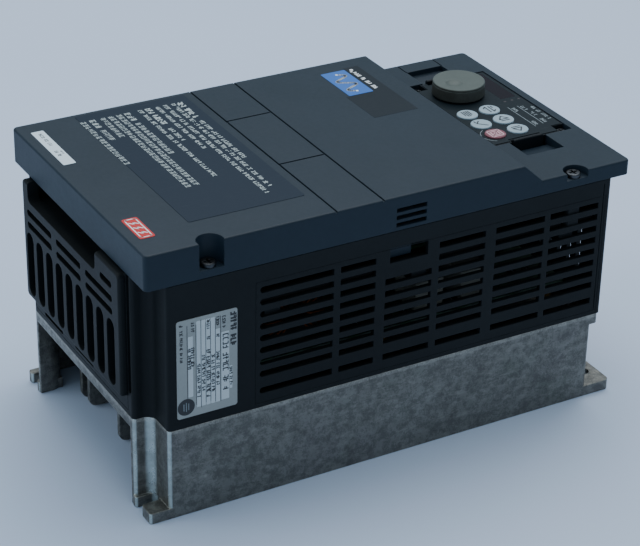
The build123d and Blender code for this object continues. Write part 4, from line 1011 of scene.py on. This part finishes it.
@dataclass
class Heatsink:
    """The cast base, and the rating plate on the case above it.

    The plate's rows run down the drive. Each is given by its distance from the plate's upper-end edge, and by
    where it starts and stops below the plate's top edge, in millimetres.
    """

    field_rise: float = 0.03
    rule_width: float = 0.24
    disc_radius: float = 4.3
    disc_rise: float = 0.05
    fields: tuple = (
        (2.6, 4.0, 29.4, 41.4),
        (4.2, 8.2, 10.8, 46.4),
        (8.8, 11.0, 8.4, 46.8),
        (11.3, 13.4, 2.0, 46.8),
        (13.7, 15.8, 2.0, 46.8),
        (16.1, 18.2, 2.0, 46.8),
        (18.5, 20.6, 2.0, 46.8),
        (22.4, 24.8, 9.0, 40.5),
    )
    rows: tuple = (
        (2.0, 1.6, 20.0, 3.0, 0.3),
        (3.3, 30.0, 41.0, 1.5, 0.25),
        (6.8, 2.6, 9.0, 1.6, 0.25),
        (6.0, 12.0, 43.0, 3.0, 0.2),
        (9.9, 2.0, 7.5, 1.5, 0.25),
        (9.9, 11.0, 13.5, 1.6, 0.25),
        (9.9, 20.0, 39.0, 1.6, 0.25),
        (12.3, 21.0, 42.0, 1.6, 0.25),
        (14.7, 2.4, 8.2, 1.5, 0.25),
        (14.7, 11.0, 13.5, 1.6, 0.25),
        (14.7, 18.0, 44.0, 1.8, 0.28),
        (17.1, 20.0, 40.0, 1.6, 0.25),
        (19.5, 24.0, 42.0, 1.6, 0.25),
        (22.4, 2.0, 9.0, 1.6, 0.25),
        (24.2, 15.0, 27.0, 1.7, 0.25),
        (22.6, 15.0, 26.0, 1.7, 0.25),
        (28.2, 2.0, 3.4, 1.7, 0.3),
        (28.2, 5.0, 22.5, 1.4, 0.25),
    )
    rules: tuple = (8.5, 11.15, 13.55, 15.95, 18.35, 20.8, 25.2)

    def build(self) -> None:
        """Dress the casting and print the plate."""
        dress("cast", "heatsink_base")
        dress("plate", "rating_plate")
        (_, left, bottom), (level, right, top) = corners_of("rating_plate")
        rng = random.Random(11)
        boxes = [rounded(right - b, right - a, top - d, top - c, 0.3, 2) for a, b, c, d in self.fields]
        rise = self.field_rise
        plates("rating_plate_fields", boxes, Side.RIGHT, level, rise, "plate_field", "base")
        level += rise
        middle, tall = (bottom + top) / 2 + 1.0, top - bottom - 5.0
        lines = [Stroke(right - across, middle, self.rule_width, tall) for across in self.rules]
        for across, start, stop, height, weight in self.rows:
            for mark in glyph_line(rng, start, stop, across, height, weight):
                lines.append(Stroke(right - mark.up, top - mark.across, mark.height, mark.width))
        PRINTING.print("rating_plate_print", lines, Side.RIGHT, level, "black_ink", "base")
        across, up = left + 4.5, bottom + 5.7
        spot = disc(across, up, self.disc_radius)
        rise = self.disc_rise
        plates("rating_plate_disc", [spot], Side.RIGHT, level, rise, "black_ink", "base")
        level += rise
        bars = [Stroke(across + shift, up, 0.4, 5.0 - abs(shift)) for shift in (-1.2, 0.0, 1.2)]
        PRINTING.print("rating_plate_disc_print", bars, Side.RIGHT, level, "grey_ink", "base")


@dataclass
class Housing:
    """The slotted case, its screws and the comb-shaped wiring cover."""

    line_low: float = -75.3
    line_high: float = 117.2
    line_top: float = 113.5
    line_bottom: float = 49.6
    line_pen: float = 0.35
    line_rise: float = 0.12

    def build(self) -> None:
        """Dress the case and trace the fine raised border round each side's slots."""
        dress("case", "case_body", "wiring_cover")
        dress("steel", "base_screws")
        dress("brass", "cover_screw_inserts")
        border = outline(self.line_low, self.line_high, self.line_bottom, self.line_top, self.line_pen)
        ends = ((-1, -1), (1, -1), (1, 1), (-1, 1))
        bars = [[(b.across + dx * b.width / 2, b.up + dy * b.height / 2) for dx, dy in ends] for b in border]
        flank = corners_of("case_body")[1][0]
        for name, level in (("right_slot_border", flank), ("left_slot_border", -flank - self.line_rise)):
            plates(name, bars, Side.RIGHT, level, self.line_rise, "case", "base")


@dataclass
class FrontCover:
    """The hinged cover with its labels, badge, hook and captive screws."""

    film: float = 0.06
    title_height: float = 3.1
    title_gap: float = 2.4
    title_weights: Spot = (0.25, 0.15)
    text_weights: Spot = (0.19, 0.11)
    border_inset: float = 1.2
    spark_pitch: float = 4.8
    wave_inset: float = 4.0
    wave_swing: float = 4.0
    wave_pen: float = 1.5
    wave_rise: float = 0.07
    text_left: float = -64.6
    caution_lines: tuple = (
        (-45.4, 8.8, 2.3, False, -43.0),
        (-48.9, 39.8, 2.2, False, None),
        (-53.2, 44.8, 2.2, False, None),
        (-57.5, -10.3, 2.2, False, None),
        (-62.6, -22.9, 2.3, False, -41.3),
        (-66.8, 18.8, 2.2, False, None),
        (-74.0, -11.8, 2.9, True, -53.9),
        (-78.4, 25.1, 2.8, True, None),
        (-82.7, 25.4, 2.8, True, None),
        (-87.1, -38.5, 2.8, True, None),
        (-92.6, -38.1, 2.9, True, -53.9),
        (-97.5, -8.9, 2.8, True, None),
    )

    def build(self) -> None:
        """Dress the cover and print its labels with marks that mean nothing."""
        dress("cover", "front_cover", "cover_release_hook")
        dress("dark_steel", "cover_screw_lower", "cover_screw_upper")
        dress("dark_film", "warning_label")
        dress("white_film", "serial_label")
        dress("red_film", "voltage_label")
        dress("blue_film", "badge_plate")
        self._caution()
        self._serial()
        self._voltage()
        self._badge()

    def _caution(self) -> None:
        """Twelve lines of small print, four of them with a bolder start."""
        rng = random.Random(3)
        level = top_of("warning_label")
        marks: list[Stroke] = []
        for up, end, height, square, title_end in self.caution_lines:
            start = self.text_left
            if title_end is not None:
                weight = self.title_weights[square]
                marks += glyph_line(rng, start, title_end, up, self.title_height, weight, square)
                start = title_end + self.title_gap
            marks += glyph_line(rng, start, end, up, height, self.text_weights[square], square)
        PRINTING.print("caution_print", marks, Side.FRONT, level, "pale_ink", "front_cover")

    def _serial(self) -> None:
        """Small dark marks on the white label."""
        rng = random.Random(5)
        (left, bottom, _), (_, top, level) = corners_of("serial_label")
        up = (bottom + top) / 2
        marks = glyph_line(rng, left + 3.0, left + 19.0, up + 0.2, 1.7, 0.16)
        marks += glyph_line(rng, left + 24.0, left + 31.0, up - 0.4, 1.9, 0.18)
        marks += glyph_line(rng, left + 24.5, left + 29.0, up + 1.8, 1.0, 0.2)
        PRINTING.print("serial_print", marks, Side.FRONT, level, "black_ink", "front_cover")

    def _voltage(self) -> None:
        """A white border and a plain spark on the red label."""
        (left, bottom, _), (right, top, level) = corners_of("voltage_label")
        inset = self.border_inset
        inner = rounded(left + inset, right - inset, bottom + inset, top - inset, 1.0, 4)
        border = ribbon([*inner, inner[0]], 0.55)
        across, up = (left + right) / 2, (bottom + top) / 2
        sparks = []
        for shift in (-self.spark_pitch, 0.0, self.spark_pitch):
            path = [(shift + 1.0, 1.9), (shift - 0.9, 0.1), (shift + 0.9, -0.1), (shift - 1.0, -1.9)]
            sparks += ribbon([(across + x, up + y) for x, y in path], 0.6)
        marks = border + sparks
        plates("voltage_print", marks, Side.FRONT, level, self.film, "white_ink", "front_cover")

    def _badge(self) -> None:
        """A darker film patch, a wave on the blue badge and a plain strip beside it."""
        (left, bottom, level), (right, top, badge_top) = corners_of("badge_plate")
        patch = [
            (right + 0.4, bottom - 2.0),
            (-5.0, bottom - 2.0),
            (-5.0, top + 9.0),
            (left - 2.0, top + 9.0),
            (left - 2.0, top + 0.4),
            (right + 0.4, top + 0.4),
        ]
        plates(
            "badge_patch", [patch], Side.FRONT, level, self.film, "patch_film", "front_cover"
        )
        level += self.film
        wave = []
        for share in (k / 40 for k in range(41)):
            across = left + self.wave_inset + share * (right - left - 2 * self.wave_inset)
            wave.append((across, (bottom + top) / 2 + self.wave_swing * math.sin(share * 4 * math.pi)))
        line, rise = ribbon(wave, self.wave_pen), self.wave_rise
        plates("badge_wave", line, Side.FRONT, badge_top, rise, "white_ink", "front_cover")
        strip = glyph_line(random.Random(9), left + 5.0, right - 1.0, top + 3.4, 2.3, 0.3)
        PRINTING.print("badge_strip", strip, Side.FRONT, level, "white_ink", "front_cover")
        dots = [disc(left + 1.6, top + 3.4, 1.0, 16), disc(left + 3.6, top + 2.2, 0.7, 16)]
        plates(
            "badge_corner_mark", dots, Side.FRONT, level, self.film, "white_ink", "front_cover"
        )


@dataclass
class OperationPanel:
    """The pull-out panel: case, printed face, window, lamps, keys, dial, latches and screws."""

    pen: float = 0.7
    mark_rise: float = 0.05
    arc_gap: float = 1.3
    arc_pen: float = 0.35

    def build(self) -> None:
        """Dress the panel and print its face, keys and dial."""
        dress("panel", "panel_case", "panel_back", "panel_latch_left", "panel_latch_right")
        dress("face", "panel_face")
        dress("lens", "display_window")
        dress("black", "display_module", "key_switches", "encoder", "dial_push_plate", "panel_plug")
        dress("lamp", "indicator_lamps")
        dress("board", "panel_board")
        dress("dark_steel", "panel_screw_left", "panel_screw_right", "dial_shaft")
        dress("key", "mode_key", "source_key", "set_key", "reverse_key", "forward_key")
        dress("stop_key", "stop_key")
        dress("dial", "setting_dial")
        self._legend()
        self._icons()

    def _legend(self) -> None:
        """Rules and small marks on the face."""
        rng = random.Random(21)
        level = top_of("panel_face")
        marks: list[Stroke] = [Stroke(9.4, 110.6, 26.0, 0.34), Stroke(9.0, 116.0, 25.0, 0.34)]
        for start, end, up, height in (
            (-1.6, 3.6, 112.5, 1.9),
            (-1.4, 3.8, 117.8, 1.9),
            (6.4, 12.4, 118.3, 1.9),
            (0.8, 8.4, 122.3, 1.9),
            (10.4, 18.2, 122.3, 1.9),
            (16.0, 22.0, 112.5, 1.9),
            (15.4, 21.6, 118.2, 1.9),
        ):
            marks += glyph_line(rng, start, end, up, height, 0.24)
        (left, bottom, _), (right, top, _) = corners_of("indicator_lamps")
        for up in (114.0, 118.8, 123.4):
            if not (bottom - 1 < up < top + 1 and left < -9.8 < right):
                marks += glyph_line(rng, -11.0, -8.6, up, 1.2, 0.24)
        PRINTING.print("panel_legend", marks, Side.FRONT, level, "grey_ink", "panel")
        (left, bottom, _), (right, top, _) = corners_of("stop_key")
        across, up = (left + right) / 2, (bottom + top) / 2
        radius = (right - left) / 2 + self.arc_gap
        turns = [math.radians(205 + 8 * k) for k in range(17)]
        arc = [(across + radius * math.cos(t), up + radius * math.sin(t)) for t in turns]
        line = ribbon(arc, self.arc_pen)
        plates("stop_key_arc", line, Side.FRONT, level, self.mark_rise, "grey_ink", "panel")

    def _icons(self) -> None:
        """A plain mark on each key."""
        icons: dict[str, list[list[Spot]]] = {
            "mode_key": [[(-3.2, y), (3.2 - abs(y), y)] for y in (-1.8, -0.6, 0.6, 1.8)],
            "set_key": [[(-3.0, 0.1), (-0.8, -2.0), (3.2, 2.2)], [(-3.4, -2.2), (-1.8, -2.2)]],
            "source_key": [
                [(-3.2, 1.0), (3.2, 1.0), (1.6, 2.6)],
                [(3.2, -1.0), (-3.2, -1.0), (-1.6, -2.6)],
                [(-1.0, 2.4), (-3.0, 2.4)],
            ],
            "reverse_key": [
                [(0.4, 2.5), (-3.0, 0.0), (0.4, -2.5), (0.4, 2.5)],
                [(2.0, -2.4), (2.0, 2.4)],
            ],
            "forward_key": [
                [(-0.4, 2.5), (3.0, 0.0), (-0.4, -2.5), (-0.4, 2.5)],
                [(-2.0, -2.4), (-2.0, 2.4)],
            ],
            "stop_key": [[(-s, s), (s, s), (s, -s), (-s, -s), (-s, s)] for s in (0.7, 2.0, 3.3)],
        }
        for key, paths in icons.items():
            (left, bottom, _), (right, top, level) = corners_of(key)
            across, up = (left + right) / 2, (bottom + top) / 2
            shapes = []
            for path in paths:
                shapes += ribbon([(across + x, up + y) for x, y in path], self.pen)
            ink, slot = ("rose_ink", "stop_rubber") if key == "stop_key" else ("black_ink", "key_rubber")
            plates(key + "_icon", shapes, Side.FRONT, level, self.mark_rise, ink, key)


@dataclass
class Winding:
    """Turns of enamelled wire round a ring core that stands on its rim, grown by a Geometry Nodes tree."""

    turns: int = 25
    wire: float = 1.15
    sweep: float = 276.0
    corner: float = 1.6

    def _build_tree(self) -> bpy.types.NodeTree:
        """Build the tree that puts one rounded loop of wire at each point."""
        web, given, out = new_group(
            "wound_turns",
            [
                ("Geometry", "NodeSocketGeometry", None),
                ("Loop Width", FLOAT, 0.01),
                ("Loop Height", FLOAT, 0.01),
                ("Wire", FLOAT, 0.001),
                ("Corner", FLOAT, 0.001),
                ("Looseness", FLOAT, 0.03),
                ("Seed", "NodeSocketInt", 0),
                ("Enamel", "NodeSocketMaterial", None),
            ],
            [("Geometry", "NodeSocketGeometry")],
            "GeometryNodeTree",
        )
        wide, tall = given["Loop Width"], given["Loop Height"]
        loop = web.add("GeometryNodeCurvePrimitiveQuadrilateral", Width=wide, Height=tall)
        soft = web.add("GeometryNodeFilletCurve", Curve=loop.outputs[0])
        web.feed(next(s for s in soft.inputs if s.name == "Radius"), given["Corner"])
        half = web.math("MULTIPLY", given["Wire"], 0.5)
        section = web.add("GeometryNodeCurvePrimitiveCircle", Resolution=8, Radius=half)
        wire = web.add("GeometryNodeCurveToMesh", Curve=soft.outputs[0])
        web.feed(wire.inputs["Profile Curve"], section.outputs[0])
        loosest = web.math("ADD", 1.0, given["Looseness"])
        wound = web.add("GeometryNodeInstanceOnPoints", Points=given["Geometry"], Instance=wire.outputs[0])
        web.feed(wound.inputs["Rotation"], web.attribute("turned"))
        web.feed(wound.inputs["Scale"], web.chance("FLOAT", Min=1.0, Max=loosest, Seed=given["Seed"]))
        web.coat(wound.outputs[0], given["Enamel"], out["Geometry"])
        return web.tree

    def wind(self, node: str, hole: float) -> None:
        """Wind a ring core whose axis runs across the drive.

        Args:
            node: The core's CAD node.
            hole: Radius of its hole, in millimetres.
        """
        low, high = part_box(node)
        rim = (high.y - low.y) / 2
        middle = Vector(((low.x + high.x) / 2, (low.y + high.y) / 2, high.z - rim))
        ring = (rim + hole * MM) / 2
        angles = [
            math.radians(90 - self.sweep / 2 + self.sweep * k / (self.turns - 1)) for k in range(self.turns)
        ]
        data = bpy.data.meshes.new(node + "_turns")
        spots = [middle + Vector((0, ring * math.cos(a), ring * math.sin(a))) for a in angles]
        data.from_pydata(spots, [], [])
        turned = data.attributes.new("turned", "FLOAT_VECTOR", "POINT")
        for item, angle in zip(turned.data, angles):
            item.vector = (angle, 0.0, 0.0)
        sizes = {
            "Loop Width": high.x - low.x + self.wire * MM,
            "Loop Height": rim - hole * MM + self.wire * MM,
            "Wire": self.wire * MM,
            "Corner": self.corner * MM,
            "Seed": 2,
            "Enamel": Stock.get("enamel"),
        }
        grow(node + "_winding", data, self._build_tree(), sizes, "base")


@dataclass
class PowerStage:
    """What lies under the covers: power board, capacitors, choke, relays and terminals."""

    choke_hole: float = 7.0
    chip_height: float = 1.3
    chip_pitch: float = 8.5
    chip_seed: int = 4
    chip_margin: float = 6.0
    chip_jitter: float = 1.2
    chip_share: float = 0.8
    chip_sizes: tuple = ((5.2, 4.0), (2.0, 1.2), (1.6, 2.8), (3.4, 3.4), (1.2, 2.0))

    def build(self) -> None:
        """Dress the power parts, wind the choke and place small parts on both boards."""
        finishes = {
            "module": ("power_module", "board_carrier"),
            "brass": ("board_standoffs",),
            "board": ("power_board", "control_board"),
            "steel": ("board_screws", "terminal_screws", "control_terminal_screws"),
            "sleeve": ("bus_capacitors",),
            "core": ("filter_choke",),
            "tape": ("switching_transformer",),
            "white": ("relays", "cable_headers"),
            "black": (
                "current_sensors",
                "main_terminal_block",
                "option_connectors",
                "control_terminal_block",
                "panel_socket",
            ),
            "tinned": ("terminal_plates", "link_bar"),
            "clear": ("charge_lamp",),
            "ribbon": ("flat_cable",),
        }
        for finish, nodes in finishes.items():
            dress(finish, *nodes)
        inner = [node for nodes in finishes.values() for node in nodes]
        Winding().wind("filter_choke", self.choke_hole)
        for node, seed in (("power_board", self.chip_seed), ("control_board", self.chip_seed + 1)):
            self._chips(node, seed, inner)

    def _chips(self, board: str, seed: int, others: Iterable[str]) -> None:
        """Place small square parts on the free area of a board, the wider ones with a printed line.

        Args:
            board: The board's CAD node.
            seed: Start of the random draws.
            others: Nodes to keep clear of, where they stand on the board.
        """
        rng = random.Random(seed)
        (left, bottom, _), (right, top, level) = corners_of(board)
        near = [*others, "base_screws", "panel_back", "panel_case"]
        taken = [box for node in near for box in footprints(node, level, self.chip_height)]
        chips: list[Stroke] = []
        marks: list[Stroke] = []
        slip = self.chip_jitter
        across = left + self.chip_margin
        while across < right - self.chip_margin:
            up = bottom + self.chip_margin
            while up < top - self.chip_margin:
                wide, tall = rng.choice(self.chip_sizes)
                x, y = across + rng.uniform(-slip, slip), up + rng.uniform(-slip, slip)
                if rng.random() < self.chip_share and clear_of(taken, x, y, max(wide, tall) / 2 + 0.8):
                    chips.append(Stroke(x, y, wide, tall))
                    if wide > 3.0:
                        marks.append(Stroke(x, y, wide * 0.55, 0.4))
                up += self.chip_pitch
            across += self.chip_pitch
        maker = Printing(thickness=self.chip_height, dropout=0.05, seed=seed, tree=PRINTING.tree)
        maker.print(board + "_chips", chips, Side.FRONT, level, "black", "base")
        level += self.chip_height
        PRINTING.print(board + "_chip_marks", marks, Side.FRONT, level, "grey_ink", "base")


def footprints(node: str, level: float, room: float) -> list[tuple[Point, Point]]:
    """Boxes, in millimetres, of a node's separate pieces that reach into a layer above a level."""
    mesh = bmesh.new()
    mesh.from_mesh(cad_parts[node].data)
    mesh.transform(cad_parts[node].matrix_world)
    seen: set[int] = set()
    boxes = []
    mesh.verts.ensure_lookup_table()
    for start in mesh.verts:
        if start.index in seen:
            continue
        island, queue = [], [start]
        seen.add(start.index)
        while queue:
            vert = queue.pop()
            island.append(vert.co / MM)
            for edge in vert.link_edges:
                other = edge.other_vert(vert)
                if other.index not in seen:
                    seen.add(other.index)
                    queue.append(other)
        low = tuple(min(c[k] for c in island) for k in range(3))
        high = tuple(max(c[k] for c in island) for k in range(3))
        if low[2] < level + room + 0.2 and high[2] > level + 0.01:
            boxes.append((low, high))
    mesh.free()
    return boxes


def clear_of(boxes: Iterable[tuple[Point, Point]], x: float, y: float, reach: float) -> bool:
    """True where a square part of this reach keeps off every box."""
    return not any(
        low[0] - reach < x < high[0] + reach and low[1] - reach < y < high[1] + reach for low, high in boxes
    )


# ---------------------------------------------------------------- stage, light and camera


@dataclass
class Studio:
    """Pale paper, soft lights and the camera."""

    paper_size: float = 6.0
    azimuth: float = 60.06
    elevation: float = 28.63
    roll: float = 1.27
    camera_at: Point = (0.81610, -0.46945, 0.57752)
    lens: float = 120.53
    sensor: float = 36.0
    paper_gap: float = 0.2 * MM
    surround: Colour = (0.66, 0.84, 1.0)
    surround_strength: float = 0.47
    lights: tuple = (
        ("overhead", (-0.35, 0.25, 1.25), (0.0, 0.0, 0.1), 1.3, 17.5, (0.97, 0.985, 1.0)),
        ("left_softbox", (-0.5, -1.3, 0.75), (0.0, -0.05, 0.08), 0.9, 4.5, (0.92, 0.96, 1.0)),
        ("near_fill", (1.5, -0.1, 0.5), (0.0, 0.0, 0.06), 1.2, 1.3, (0.94, 0.97, 1.0)),
        ("corner_strip", (0.12, -1.25, 0.3), (0.06, -0.13, 0.03), 0.22, 1.4, (0.9, 0.97, 1.0)),
    )

    def build(self) -> None:
        """Make the stage."""
        self._paper()
        self._world()
        for light in self.lights:
            self._light(*light)
        self._camera()

    def _paper(self) -> None:
        """A wide sheet of paper on the floor."""
        mesh = bmesh.new()
        bmesh.ops.create_grid(mesh, x_segments=8, y_segments=8, size=self.paper_size / 2)
        paper = mesh_object("studio_paper", mesh, "paper")
        paper.location.z = -self.paper_gap

    def _world(self) -> None:
        """An even pale surround."""
        world = bpy.data.worlds.new("studio")
        world.use_nodes = True
        back = world.node_tree.nodes["Background"]
        back.inputs["Color"].default_value = (*self.surround, 1.0)
        back.inputs["Strength"].default_value = self.surround_strength
        bpy.context.scene.world = world

    def _light(self, name: str, at: Point, aim: Point, size: float, power: float, colour: Colour) -> None:
        """One square soft light.

        Args:
            name: Name of the light.
            at: Its place.
            aim: The point that it faces.
            size: Length of its side, in metres.
            power: Its power, in watts.
            colour: Its colour.
        """
        data = bpy.data.lights.new(name, "AREA")
        data.shape = "SQUARE"
        data.size = size
        data.energy = power
        data.color = colour
        lamp = bpy.data.objects.new(name, data)
        bpy.context.scene.collection.objects.link(lamp)
        lamp.location = at
        lamp.rotation_euler = (Vector(aim) - Vector(at)).to_track_quat("-Z", "Y").to_euler()

    def _camera(self) -> None:
        """A long lens looking down along the drive's right side."""
        data = bpy.data.cameras.new("camera")
        data.lens = self.lens
        data.sensor_width = self.sensor
        data.clip_start = 0.01
        data.clip_end = 20.0
        camera = bpy.data.objects.new("camera", data)
        bpy.context.scene.collection.objects.link(camera)
        a, e = math.radians(self.azimuth), math.radians(self.elevation)
        forward = Vector((-math.sin(a) * math.cos(e), math.cos(a) * math.cos(e), -math.sin(e)))
        level = forward.cross(Vector((0, 0, 1))).normalized()
        upright = level.cross(forward)
        turn = math.radians(self.roll)
        right = level * math.cos(turn) + upright * math.sin(turn)
        up = right.cross(forward)
        pose = Matrix((right, up, -forward)).transposed().to_4x4()
        pose.translation = Vector(self.camera_at)
        camera.matrix_world = pose
        bpy.context.scene.camera = camera


def main() -> None:
    """Build the sub-assemblies in order, then the stage."""
    logging.basicConfig(level=logging.INFO, format="%(name)s: %(message)s")
    for part in (Heatsink(), Housing(), FrontCover(), OperationPanel(), PowerStage()):
        part.build()
        log.info("%s is done", type(part).__name__)
    Studio().build()


if __name__ == "__main__":
    main()
